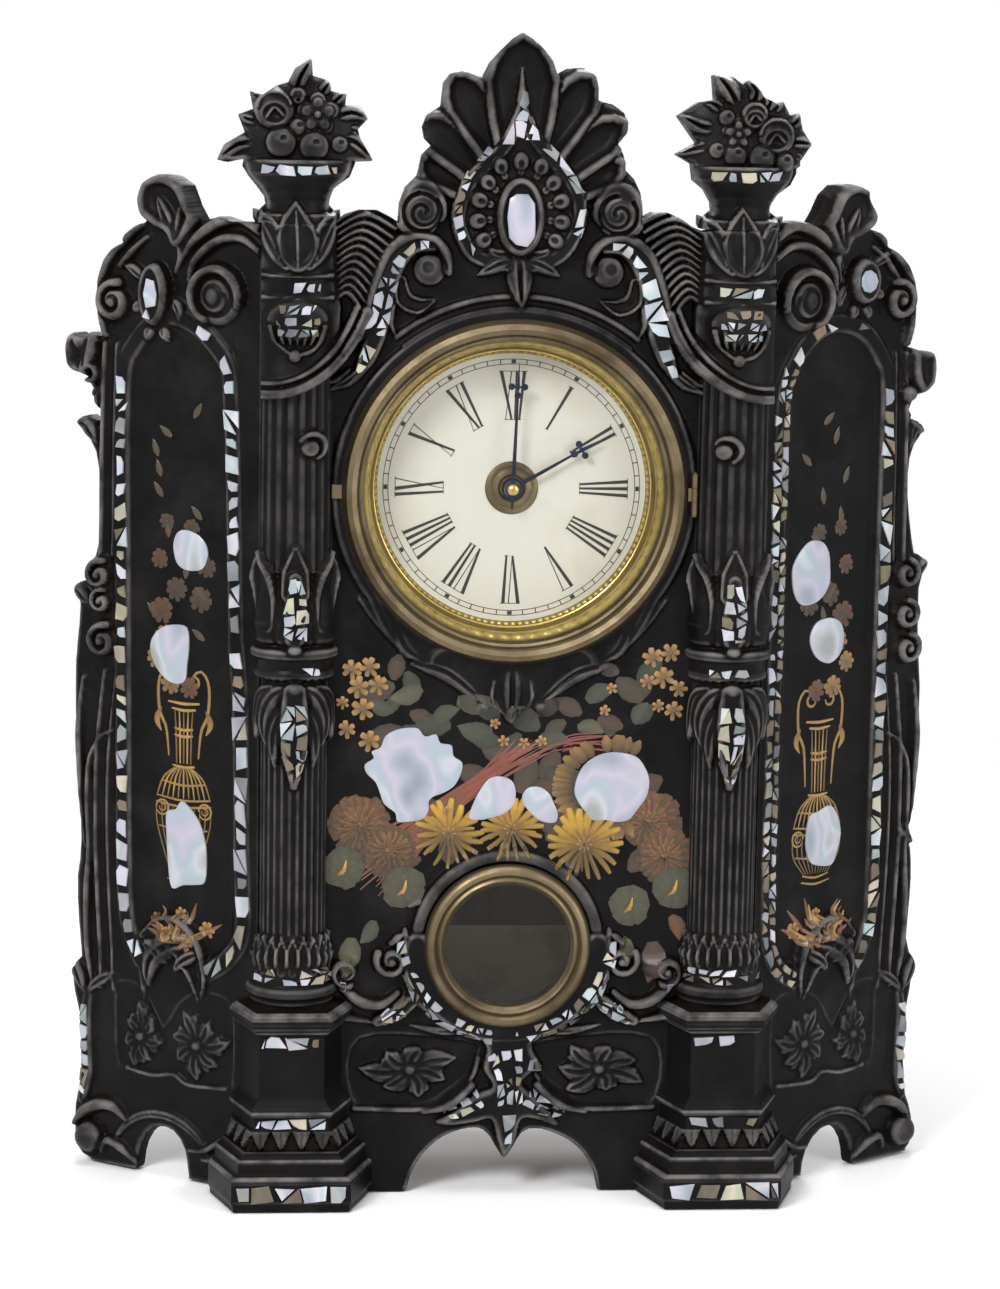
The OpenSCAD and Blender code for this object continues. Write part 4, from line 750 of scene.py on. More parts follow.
def leaf_cup(r, cx):
    """The cup of three pointed leaves that the finial's neck stands in."""
    wide = np.interp(r.B, (410, 414, 420, 430, 438, 441), (15, 16, 17.3, 17.6, 17, 16.6))
    q = np.abs(r.A - cx) / wide
    body = np.where((q < 1) & (r.B > 413) & (r.B < 440), 1 + 15.5 * np.sqrt(np.clip(1 - q**2.2, 0, 1)), 0)
    r.h = np.maximum(r.h, body)
    rim = [(0, 0.3), (0.6, 2.6), (1.5, 3.0), (2.8, 1.4), (4.5, 0.5), (9, 0.9)]
    for k in (-1, 1):
        side = [(4, 416), (10, 419), (15, 426), (17.5, 434), (19.5, 442), (15, 441.2), (10, 438),
                (6.5, 432), (4.5, 424)]
        r.form([(cx + k * x, z) for x, z in side], rim, "add")
        r.stroke([(cx + k * 8, 421), (cx + k * 12, 430), (cx + k * 16, 438)], 0.9, 1.3, soft_section, "add")
    middle = [(0, 415), (6, 418), (9, 424), (8.6, 432), (5, 438), (-1, 446), (-7, 438.5), (-9.4, 432),
              (-9, 424), (-6, 418)]
    r.h = np.where(signed(r.A, r.B, [(cx + x, z) for x, z in middle]) > 0,
                   2.5 + 15.5 * np.sqrt(np.clip(1 - ((r.A - cx) / 17) ** 2, 0, 1)), r.h)
    r.form([(cx + x, z) for x, z in middle], rim, "add")
    r.stroke([(cx, 418), (cx - 0.3, 430), (cx - 1, 441)], 1.1, 1.5, soft_section, "add")


def shoulder(r, s):
    """The apron in front of the column top, its ribs, boss and leaf cup."""
    x = np.abs(r.A)
    side = r.A * s > 0
    q = np.clip(np.abs(x - COLUMN_X) / np.interp(r.B, (400, 412, 441), (19.5, 17.5, 16.5)), 0, 1)
    round_top = 18.5 * np.sqrt(np.clip(1 - q**2.4, 0, 1))
    line = np.interp(x, (58, 62, 66, 71, 78, 86, 95, 105, 113), (420, 409, 398, 387.5, 377.5, 370, 364.5,
            361.5, 361))
    above = side & (r.B > line) & (r.B < 441) & (x > 74)
    sink = 2.5 * np.exp(-(((r.B - 383) / 14) ** 2))
    r.h = np.where(above, np.maximum(r.h, round_top - sink), r.h)
    # ribs fanning from the scroll to the column
    for k in range(12):
        f = k / 11
        inner = (s * (53 + 13.5 * f), 438 - 42 * f)
        outer = (s * (80 + 2 * f), 437 - 36 * f)
        mid = (s * (66.5 + 8 * f), 443.5 - 37 * f)
        r.stroke([inner, mid, outer], [1.1, 1.75, 1.0], [6.2, 7.8, 6.2])
    # the long moulding: from the scroll round to the wing
    path = at(s, (66, 398), (70.5, 388), (77.5, 378), (86, 370.5), (95, 365.5), (104, 363), (114, 362.5))
    for d, w, extra in ((0, 2.6, 4.6), (4.6, 1.6, 2.6)):
        p = curve(path)
        p = p + normals(p) * s * d
        qq = np.clip(np.abs(np.abs(p[:, 0]) - COLUMN_X) / 20.5, 0, 1)
        base = np.maximum(6.5, 17.6 * np.sqrt(1 - qq**2.6))
        r.stroke(p, w, base + extra, lambda v: 0.72 + 0.28 * round_section(v), smooth=False)
    # pearl-studded boss with a fluted hem and a curled tip
    cx = s * COLUMN_X
    r.boss(cx, 395, 14.5, 11.5, 24.5, power=0.28)
    for k in range(-3, 4):
        r.stroke([(cx + k * 3.9, 392), (cx + k * 3.4, 387), (cx + k * 2.6, 383)], [1.9, 2, 0.8],
                 [22.5, 21, 17])
    r.stroke([(cx - 10, 386), (cx - 3, 380.5), (cx + 5, 381), (cx + 11, 386)], [0.8, 2, 2, 0.8],
             [18, 21, 21, 18])
    r.boss(cx - 1, 379.5, 3.9, 3.7, 23.5, power=0.3)
    # pearl band under the cup
    r.stroke([(cx - 15, 414), (cx, 413.4), (cx + 15, 414)], 1.3, [16, 21, 16])
    r.stroke([(cx - 15, 404.5), (cx, 404), (cx + 15, 404.5)], 1.4, [15, 20.5, 15])
    leaf_cup(r, cx)


def lower_field(r, s):
    """Scrolls beside the round window and the moulding ends by the column feet."""
    r.scroll(s * 52, 108, 9, 7.5, 30 if s > 0 else 150, 1.2, -s)
    r.stroke(at(s, (46, 121), (50, 118), (52, 116)), [1, 2, 1.4], [4, 6, 6])
    r.stroke(at(s, (46, 122), (44, 112), (43, 103), (40, 95), (35, 88)), [1.2, 3, 4, 4.4, 4],
             [5, 6, 6.4, 6.6, 6.4], flat_section)
    r.stroke(at(s, (49, 93), (56, 88), (65, 89), (72, 95), (74.5, 102)), [1.5, 2.6, 3, 2.6, 2],
             [5, 6.5, 7, 7.5, 7])
    r.scroll(s * 72.5, 103, 8, 8.5, 250 if s > 0 else 290, 1.2, s)
    r.stroke(at(s, (42, 90), (50, 84), (58, 80)), [3.4, 4.4, 2.5], [6, 6.4, 5.5], flat_section)
    r.stroke(at(s, (60, 79.5), (72, 82), (84, 86)), [1, 2.2, 3], [3, 6, 8])


def bracket(r):
    """The leafy bracket under the door with its pointed pendant."""
    r.stroke(arc(0, DIAL_Z, 83, 215, 325, 40), [1, 5, 6.5, 5, 1], [2, 3.6, 4.2, 3.6, 2], flat_section)
    outline = [(-38, 243), (-26, 238), (-17, 232), (-14, 225), (-9, 223), (-5, 220.5), (0, 216), (5, 220.5),
               (9, 223), (14, 225), (18, 233), (27, 239), (38, 243), (30, 252), (0, 250), (-30, 252)]
    r.form(outline, [(0, 2.4), (1, 4.2), (2, 4.8), (20, 5)])
    for s in (-1, 1):
        r.leaf(at(s, (44, 243), (30, 240), (18, 231), (10, 223)), 5, 6)
        r.stroke(at(s, (8, 236), (9, 229), (7, 224)), [1, 1.6, 0.8], [6, 7, 5.4])
        r.boss(s * 12.5, 224.5, 3.4, 2.8, 6.4)
        r.leaf(at(s, (52, 262), (47, 250), (36, 243)), 4.4, 4.6)
        r.leaf(at(s, (66, 283), (58, 264), (50, 250)), 4.2, 4)
    r.leaf([(0, 244), (0, 232), (0, 216)], 7, 7.6)


def tuft(r, a, b, wide, tall, high, count, turn=0.0, base=0.0):
    """Lobed leaves springing from a knot, for the low leaf work of the panels."""
    for k in range(count):
        t = math.radians(turn + 360 * k / count)
        c, d = math.cos(t), math.sin(t)
        reach = 1.0 if k % 2 else 0.8
        mid = (a + 0.5 * wide * reach * c - 1.6 * d, b + 0.5 * tall * reach * d + 1.6 * c)
        tip = (a + wide * reach * c, b + tall * reach * d)
        r.leaf([(a + 2 * c, b + 2 * d), mid, tip], 0.22 * wide + 0.6, high, base=base, blunt=0.65)
        for e in (-0.75, 0.75):
            c2, d2 = math.cos(t + e), math.sin(t + e)
            r.leaf([mid, (mid[0] + 0.16 * wide * c2, mid[1] + 0.2 * tall * d2),
                    (mid[0] + 0.3 * wide * c2, mid[1] + 0.4 * tall * d2)], 3.2, high * 0.85, base=base,
                   blunt=0.7)
    r.boss(a, b, 3.4, 3, high * 1.15, base=base)


def panels(r):
    """Sunk panels left and right of the pendant, with leaf work in them."""
    for s in (-1, 1):
        r.form(at(s, (66, 40), (38, 40), (26, 46), (16, 55), (13, 63), (17, 70), (66, 71.5)),
               [(0, -0.3), (1.2, -1.6), (30, -1.6)], "add")
        r.stroke(at(s, (68, 39), (36, 38.5), (24, 45), (15, 53), (12, 62)), 1.2, 2.2)
        tuft(r, s * 43, 57, 23, 13.5, 3.6, 7, 100 - 26 * s, -1.2)


def pendant(r):
    """Raised bed of the central pearl pendant, under the round window."""
    r.stroke(arc(0, WINDOW_Z, 40.5, 180, 360, 40), 6.3, 6.2, flat_section)
    r.stroke(arc(0, WINDOW_Z - 0.6, 40.6, -8, 188, 50), 3.2, 5.4)
    bed = [(-15, 79), (-9, 68), (-10, 58), (-6, 50), (-14, 46), (-24, 38), (-31, 33), (-24, 31.5),
           (-13, 33), (-6, 34), (-3, 24), (0.5, 17), (5, 24), (8, 34), (15, 34), (24, 31), (23, 35),
           (14, 45), (8, 51), (12, 56), (17, 58), (12, 69), (17, 79)]
    r.form(bed, [(0, 2.5), (0.8, 4.6), (2, 5.4), (20, 5.6)])
    for s in (-1, 1):
        r.stroke(at(s, (15, 50), (25, 41), (37, 37)), [2, 2.6, 0.8], [5, 6, 3])
        r.leaf(at(s, (14, 76), (28, 75), (44, 78)), 2.2, 3)
    # pierced arch's rolled rim
    r.stroke(curve(ARCH[1:-1]), 2.4, 1.6, soft_section, smooth=False)


class Front:
    """The flat field in bands, so that no piece of the mesh grows too heavy."""

    def __init__(self):
        self.bands = []
        for name, z0, z1, step in (("front_crest", 352, 524, 0.56), ("front_upper", 247, 352, 0.9),
                                   ("front_painted", 150, 247, 0.7), ("front_lower", 0, 150, 0.62)):
            r = Relief(-112, 112, z0, z1, step, on_field)
            front_edge(r)
            front_motifs(r)
            r.finish(1)
            self.bands.append((name, r))

    def band(self, z):
        for _, r in self.bands:
            if z >= r.bounds[2]:
                return r
        return self.bands[-1][1]

    def height(self, a, b):
        a, b = np.asarray(a, float), np.asarray(b, float)
        return self.band(float(np.mean(b))).height(a, b)

    def place(self, a, b, h):
        return on_field(a, b, h)


field = Front()
for name, r in field.bands:
    dress_iron(r.build(name))


# Wings: outlines as (u, z), u along the wing from its root
WING_OUTLINE = {-1: [(-1, -0.001), (-1, 436), (12, 436), (20, 438), (30, 436), (34, 442), (38, 451),
                     (45, 455), (52, 455.5), (58, 452), (61, 445), (60, 437), (59, 434), (64, 433),
                     (69, 430), (70, 425), (76, 422), (80, 418), (83, 409), (84, 398), (83.5, 388),
                     (84, 383), (87, 384.5), (91, 384.5), (94, 382.5), (97, 384.5), (99.5, 383),
                     (100.5, 377), (99.5, 370), (96, 366.5), (91.5, 366), (90.5, 361), (87, 356),
                     (84.5, 350), (84, 345), (87.5, 345.5), (91, 347.5), (95, 346.5), (97, 343.5),
                     (95, 340.5), (91, 336), (88, 331), (86.5, 324), (85.8, 312), (86, 300), (86.5, 290),
                     (88.5, 283), (90.5, 277), (91.5, 272), (95, 271.8), (98, 270.5), (98.2, 267),
                     (96.8, 261), (97.3, 253), (98.3, 245), (99.3, 235), (99.6, 222), (99.5, 210),
                     (98.6, 196), (97.6, 182), (97, 168), (96.6, 152), (97.2, 143), (98.6, 135),
                     (98.6, 124), (98, 114), (97, 104), (96.4, 97), (98.3, 93), (100.8, 90), (101.3, 86),
                     (100.5, 80), (98.6, 73), (96.5, 65), (95.2, 57), (95.6, 49), (96.8, 41), (98.6, 33),
                     (100, 26), (100.6, 19), (100.3, 12), (99, 6), (96, 2.4), (90, 0.3), (89, -0.001),
                     (66, -0.001), (64.5, 1.5), (63.5, 8), (62, 13), (59, 18), (55, 21.5), (50, 22.7),
                     (45, 21.5), (41, 18), (38.3, 13), (37.3, 7), (36.5, 1.5), (35.5, -0.001)],
                1: [(-1, -0.001), (-1, 438), (10, 440), (22, 438.5), (26, 444), (30, 451), (36, 455.5),
                    (43, 456), (50, 453), (53, 447), (56, 441), (57, 437), (63, 433), (66, 428), (72, 425),
                    (78, 420.5), (82, 413), (83.5, 405), (84, 392), (83, 383), (85, 381.3), (90, 381),
                    (94, 380.3), (96, 377), (96.6, 372), (95.6, 365.5), (90.5, 361.8), (88, 357), (86, 353),
                    (85, 350), (88.5, 348.7), (92, 346.4), (94.8, 343.6), (94, 341), (90.5, 337.5),
                    (88, 331.5), (87.3, 324), (87.6, 314), (89.2, 304), (91.2, 294), (93, 287.6),
                    (96.5, 286.3), (99.5, 283.5), (99.8, 279.5), (98.4, 275.5), (97, 271), (97, 261),
                    (97.3, 250), (98.5, 238), (100, 224), (100, 210), (99, 199), (97.3, 189), (95.5, 179),
                    (94.8, 169), (93.5, 162), (92.3, 156.5), (95, 153.3), (97.3, 148.5), (98.2, 142),
                    (98.6, 134), (98.2, 124), (97.4, 114), (96.8, 105), (98.4, 100), (100.5, 94),
                    (101.3, 87), (100.5, 80), (99, 73), (97.3, 66), (96, 58), (95, 49), (95.6, 42),
                    (97.3, 35.5), (99.5, 29.5), (102.3, 23.5), (104.5, 16.5), (105.2, 9), (103.8, 3.5),
                    (100.5, 0.5), (99, -0.001), (66, -0.001), (64.4, 1.5), (63.5, 7), (62, 12), (59, 16.8),
                    (55, 20.2), (50, 21.3), (45, 20.3), (40.5, 17.3), (36.5, 12.5), (34.6, 7), (33.8, 1.5),
                    (33, -0.001)]}
PANEL = [(12, 118), (12, 366), (16, 377), (24, 386), (34, 391), (46, 391), (56, 386), (64, 377),
         (67.5, 366), (67.5, 118), (64, 110), (57, 104), (22, 104), (15, 109)]
BORDER = {1: [(6, 250), (6, 330), (6.5, 362), (12, 376), (21, 387), (32, 393.5), (45, 394), (57, 389),
              (66, 379), (71, 366), (71.5, 320), (71.5, 220), (71.5, 130), (69.5, 113), (64, 101), (60, 96)],
          -1: [(10.5, 250), (12.5, 330), (14, 358), (16, 373), (24, 383), (33, 390), (45, 394), (57, 389.5),
               (66, 380), (71.5, 368), (72.5, 330), (72, 250), (71.5, 150), (70, 120), (66, 108), (62, 100)]}
BORDER_LOW = {1: [(6, 250), (5.5, 180), (6, 130), (7.5, 112), (14, 101), (24, 95)],
              -1: [(10.5, 250), (8, 220), (7, 160), (6, 125), (9, 113), (17, 104), (27, 98)]}


def wing_motifs(r, s):
    """All relief of a wing, from its scrolls down to its foot."""
    # sunk panel and its chip border
    r.h += 1.6
    r.form(PANEL, [(0, 0), (1.5, -1.6), (60, -1.8)], "add")
    # the big scroll at the root and the ridges over it
    c, e = ((16, 405), 14.6) if s > 0 else ((20, 403.5), 13.6)
    r.boss(*c, e, e, 8.5, power=0.35)
    r.stroke(arc(*c, e * 0.86, 200, -60, 40), [1.2, 2.3, 2.6, 2.6, 2.3], [9, 10.5, 11, 11, 10])
    r.stroke(arc(c[0], c[1], e * 0.62, 40, 400, 40), 1.6, -2.4, soft_section, "add", smooth=False)
    r.boss(*c, e * 0.46, e * 0.5, 10.6)
    r.stroke(arc(c[0] + 0.5, c[1] - 1, e * 0.5, 160, 330), 0.8, -1.4, soft_section, "add")
    r.stroke([(-1, 432), (8, 437.5), (17, 436.5), (26, 432), (34, 426), (39, 418)], [2, 3, 3.2, 3, 2.4, 1],
             [6, 7.5, 8, 8, 7, 5])
    r.stroke([(-1, 423), (7, 428.5), (17, 428.5), (26, 424), (33, 417), (36, 409)],
             [1.6, 2.2, 2.4, 2.4, 2, 1], [5, 7, 7.6, 7.6, 7, 5])
    # curled leaf at the top, on its stem
    k = (0, 0) if s < 0 else (-4.5, 0.5)
    knob = [(30, 437), (33, 443), (37.5, 451), (45, 455.5), (53, 455.5), (59, 452), (61.5, 445),
            (59.5, 437.5), (53, 433), (46, 430), (42, 424), (36, 426)]
    r.form([(u + k[0], z + k[1]) for u, z in knob], [(0, 5), (1, 8), (2.2, 9.4), (3.8, 8.6), (5.5, 5.2),
                                                     (9, 4.4)], "stamp")
    r.leaf([(42 + k[0], 427), (46 + k[0], 437), (52 + k[0], 447)], 4.6, 8.6)
    r.stroke([(38 + k[0], 441), (40 + k[0], 431), (39 + k[0], 421), (43 + k[0], 413)], [1.6, 2.2, 2.2, 1],
             [9, 8, 7, 5])
    # oval cartouche between the scrolls
    oa, ob, ra, rb = (51, 413, 8.4, 10.4) if s > 0 else (53, 403, 7.6, 14)
    r.form(circle(0, 0, 1, 30) * (ra, rb) + (oa, ob), [(0, 4), (1, 8.4), (2.1, 9.4), (3.2, 7.8), (9, 7.6)],
           "stamp")
    for pts in ([(oa - ra - 1, ob - 2), (oa - ra - 5, ob - 7), (oa - ra - 4, ob - 12)],
                [(oa + ra, ob - 4), (oa + ra + 5, ob - 8)], [(oa + ra - 1, ob + 6), (oa + ra + 5, ob + 11),
            (oa + ra + 10, ob + 12)], [(oa - 3, ob - rb), (oa - 6, ob - rb - 7)],
                [(oa + 3, ob - rb), (oa + 5, ob - rb - 7)]):
        r.leaf(pts, 3, 6.5)
    # outer scroll
    oc = (73.5, 404) if s > 0 else (74.5, 399)
    r.scroll(*oc, 11, 9, 100, 1.3, -1)
    r.stroke([(60, 434), (69, 427), (77, 419), (82, 409), (83, 396), (80, 384)],
             [1.6, 2.2, 2.4, 2.4, 2, 1.6], [7, 7.4, 7.6, 7.6, 7, 6.5])
    r.stroke([(58, 428), (66, 421), (72, 415)], [1, 1.8, 1.4], [6, 7, 6.5])
    # long ridges down the outer edge
    for inner, w, z in ((76.5, 1.2, 3.4), (82.5, 1.6, 4.6)):
        r.stroke([(inner - 1.5, 380), (inner, 340), (inner + 0.5, 300), (inner + 1, 285)], w, z)
        r.stroke([(inner - 1, 232), (inner + 1, 215), (inner + 3.5, 190), (inner + 4, 160),
                  (inner + 3, 130), (inner + 1.5, 104), (inner + 1, 84)], [w * 0.6, w, w, w, w, w, w * 0.6],
                 z)
    r.stroke([(77, 205), (84, 201), (89, 190), (90, 172), (89, 150), (91, 130), (91, 104), (88, 82)],
             [0.8, 1.8, 2, 2, 2, 1.8, 1.6, 0.8], [4, 6, 6.4, 6.4, 6, 6, 5.6, 4])
    r.stroke([(93, 228), (95.5, 205), (94, 175), (92, 150)], [1, 1.8, 1.8, 1], [5, 6, 6, 5])
    # buds and leaf points
    if s > 0:
        r.form([(83, 382), (90, 382), (96, 380), (97, 371), (95.5, 365), (90, 361), (85, 364), (82, 372)],
               [(0, 5), (1.2, 8.4), (3, 9), (6, 6.5)])
        r.boss(82, 361.5, 4.6, 4.6, 8.8)
        r.leaf([(83, 352), (88, 348), (95, 343.5)], 4.6, 7)
        r.leaf([(86, 337), (86, 352)], 3, 6)
        for a, b, size in ((84, 279, 8.5), (84.5, 260, 8.5), (86, 244, 9)):
            r.scroll(a, b, size, 8.6, 60, 1.1, -1)
        r.leaf([(90, 275), (93, 281), (99, 284.5)], 3.6, 7.5)
        r.leaf([(86, 162), (90, 156), (97, 151)], 4, 7)
    else:
        r.form([(84, 383), (88, 385), (92, 382.5), (97, 385), (100.5, 379), (99, 369), (92, 366),
                (86, 371)], [(0, 5), (1.2, 8.4), (3, 9), (6, 6.5)])
        for line in ([(87, 383), (89, 376), (90, 369)], [(96, 383), (94, 376), (92, 369)]):
            r.stroke(line, 0.8, -1.6, soft_section, "add")
        r.stroke(arc(87.5, 366.5, 3.4, 0, 300), 1.4, 8.6)
        r.leaf([(83, 362), (87, 354), (87, 342)], 3.4, 6.5)
        r.leaf([(86, 336), (90, 343), (97, 345)], 4, 7.4)
        r.scroll(83, 276, 8.5, 8.6, 100, 1.1, -1)
        r.scroll(82, 264, 7, 8, 100, 1.1, -1)
        r.scroll(81, 246, 9.5, 8.8, 100, 1.2, -1)
        r.leaf([(90, 262), (94, 267), (98.5, 270)], 3.6, 7)
    # hanging leaves under the panel
    r.leaf([(60, 112), (47, 116), (36, 110), (30, 96), (31, 84)], 8.5, 7, cup_section)
    r.leaf([(32, 112), (44, 110), (54, 102), (57, 88)], 7.5, 8)
    r.leaf([(60, 108), (52, 107), (46, 100)], 4.4, 8)
    r.leaf([(28, 108), (36, 104), (43, 97)], 4, 8.2)
    r.leaf([(64, 100), (60, 92), (61, 80)], 2.6, 4)
    # lower panel
    r.form([(16, 88), (30, 88.5), (40, 83), (46, 74), (50, 70), (54, 76), (62, 87), (74, 88), (76, 80),
            (75, 52), (68, 46), (46, 47), (38, 44), (16, 45), (12, 52), (12, 80)],
           [(0, 0), (1.4, -1.2), (40, -1.2)], "add")
    tuft(r, 31, 64, 18, 17, 3.6, 7, 12)
    tuft(r, 62, 64, 12, 17, 3.4, 7, 30)
    r.stroke([(16, 46), (36, 45), (44, 48.5), (56, 46.5), (70, 48)], 1.1, 3)
    # beds of the pearl chips: the border and the strip above the foot
    for line, w in ((BORDER[s], 5.2), (BORDER_LOW[s], 5.6)):
        r.stroke(line, w, 2.9, flat_section)
    r.stroke([(90.5, 80), (92, 68), (91.5, 52), (91.5, 42), (94.5, 30)], [3, 4, 4, 4, 3],
             [4, 4.6, 4.6, 4.6, 4], flat_section)
    r.leaf([(77, 92), (86, 86), (92, 80)], 3.4, 6)
    r.leaf([(100, 96), (95, 88), (92, 80)], 4, 6.6)
    # arch moulding and foot scroll
    r.stroke(arc(50, 0, 29, 18, 162, 30), [1.2, 2.4, 2.6, 2.4, 1.2], [3.4, 4.6, 5, 4.6, 3.4], leaf_section)
    r.stroke([(70, 24), (76, 29), (84, 29), (92, 25), (98, 18)], [1.5, 3, 3.4, 3, 2], [5, 7.6, 8.4, 8, 6])
    fc = (90, 12.5) if s < 0 else (94.5, 12.5)
    r.boss(*fc, 8, 8, 10)
    r.stroke(arc(*fc, 7.6, 60, 240), 0.9, -2, soft_section, "add")
    r.stroke([(65, 4), (72, 10), (80, 12), (84, 6)], [1, 2.6, 2.6, 1], [4, 6, 6, 4])
    r.stroke([(6, 30), (14, 24), (26, 16), (36, 14)], [1, 2, 2, 0.8], [4, 5, 5, 3])
    r.stroke([(8, 6), (18, 11), (28, 11)], [1.4, 2, 0.8], [5, 5, 4])


wings = {}
for s, side in SIDES:
    r = Relief(-1, 106, 0, 458, 0.74, on_wing(s))
    e = signed(r.A, r.B, WING_OUTLINE[s])
    e = np.where((r.A < 4) & (r.B > 0) & (r.B < 432), np.maximum(e, 0) + 6 * (r.A > -2), e)
    e = np.where((r.B < 1) & (e > -0.01), e + 1, e)
    r.edge = e
    wing_motifs(r, s)
    r.finish(1)
    wings[s] = r
    dress_iron(r.build("front_wing_" + side))


# Columns, rolled out round their axis: a is the distance round at radius 15
CORE = 15.0


def column_motifs(r, s):
    """A column from its round base to its head: mouldings, flutes and leaves."""
    z = r.B
    prof = [(86, 1.0), (89, 1.6), (90.6, 2.8), (91.8, 4.0), (92.6, 4.2), (93, 3.4), (93.8, 4.4),
            (95.4, 5.4), (97.4, 5.4), (98.8, 4.4), (99.4, 2.6), (103, 3.0), (107, 1.8), (118, 0.6),
            (121, -0.2), (236, -0.2), (238, 2.6), (240.5, 2.6), (241.5, 1.8), (246, 2.2), (247, 4.4),
            (250, 4.2), (251.5, 0.5), (254, 2.6), (262, 3.8), (271, 2.6), (280, 1.4), (288, 1.0),
            (372, 0.4)]
    r.h = np.interp(z, *zip(*prof))
    shaft = ((z > 117) & (z < 238)) | (z > 286)
    pitch = np.where(z > 250, 5.1, 3.6)
    flute = np.abs(np.sin(math.pi * r.A / pitch)) ** 0.7
    r.h = np.where(shaft, r.h - 1.4 + 1.6 * flute, r.h)
    lobe = np.abs(np.cos(math.pi * r.A / 17)) ** 0.5
    r.h = np.where((z > 251.5) & (z < 284), r.h - 2.6 + 2.8 * lobe, r.h)
    # upright leaves at the foot
    for k in range(-6, 7):
        a = k * 4.3
        r.stroke([(a, 106), (a, 110), (a * 1.04, 116), (a * 1.08, 121.5)], [1.8, 2.3, 2.3, 0.4],
                 [3.6, 4.4, 3.6, 4.6], cup_section)
    # hanging acanthus with its ball
    for k in (-1, 1):
        r.leaf(at(k, (3, 234), (9, 230), (13, 220), (12.5, 207)), 4.6, 4.4)
        r.leaf(at(k, (4, 226), (8, 214), (8.5, 198)), 3.8, 3.8)
        r.leaf(at(k, (10, 234), (17, 229), (20, 214), (24, 208)), 4, 4)
    r.stroke([(0, 232), (0, 215), (0, 200), (0, 190)], [5, 6.4, 5, 1.5], [5, 5.4, 5.6, 4.6], flat_section)
    r.boss(0, 233.5, 3.6, 3.6, 6.6)
    r.boss(0, 251, 3.2, 3.2, 6.6)
    # capital: a lily with three tips
    r.stroke([(0, 256), (0, 270), (0, 282)], [4.6, 5, 3.6], [4.4, 4.6, 4], flat_section)
    for k in (-1, 0, 1):
        r.stroke(at(k, (13, 262), (14, 276), (16.5, 286), (19, 293)) if k else [(0, 276), (0, 285),
                (0, 296)], [5, 6.4, 6, 0.6] if k else [6, 5.6, 0.6], [3.2, 4.4, 6.4, 7.4] if k else [4.4,
                4.4, 4.6], cup_section)
    # button
    a = -s * 5.5
    r.boss(a, 339.5, 4, 4, 5.5)
    r.stroke(arc(a + 1.2, 340, 5.4, 150, -60), [1.2, 1.8, 1.8, 1.2], [3, 4.2, 4.2, 3])


columns = {}
for s, side in SIDES:
    half = CORE * math.radians(100)
    r = Relief(-half, half, 86, 372, 0.62, on_column(s, CORE))
    column_motifs(r, s)
    r.finish(1, 0.01)
    columns[s] = r
    dress_iron(r.build("front_column_" + side, back=-9))


# Pedestals: courses of mouldings round three sides: height, depth, half width in front and behind
COURSES = [(0, 29, 25.6, 36), (3, 29.3, 26, 36.4), (4, 29.8, 26.6, 37), (13, 29.8, 26.6, 37),
           (15, 29.4, 26.2, 36.6), (16, 27.6, 24.2, 34.8), (17, 27, 23.6, 34), (22, 27, 23.6, 34),
           (23, 26.6, 23, 33.4), (24.5, 25.2, 21.2, 31), (26.5, 25.4, 20.8, 30.2), (35.5, 23.4, 17.4, 26.5),
           (36.2, 23.2, 16.4, 25.2), (41, 23.2, 16.4, 25.2), (42, 24.4, 17.6, 26.6), (44, 25, 18, 27.6),
           (45.5, 24, 17.2, 26.4), (49, 21, 14.8, 23.2), (51, 20.6, 14.4, 22.6), (78.5, 20.6, 14.4, 22.6),
           (79.5, 22.4, 15.8, 24.2), (81.5, 23.8, 16.8, 26), (84, 24.8, 17.6, 27.6),
           (86.5, 24.8, 17.6, 27.6), (88, 23.6, 16.6, 26.2), (89, 21.5, 15.6, 24), (89.8, 18.5, 14, 21.5),
           (91, 16, 12, 18.5)]
LEAF_LOW, LEAF_TOP = 26.5, 35.5


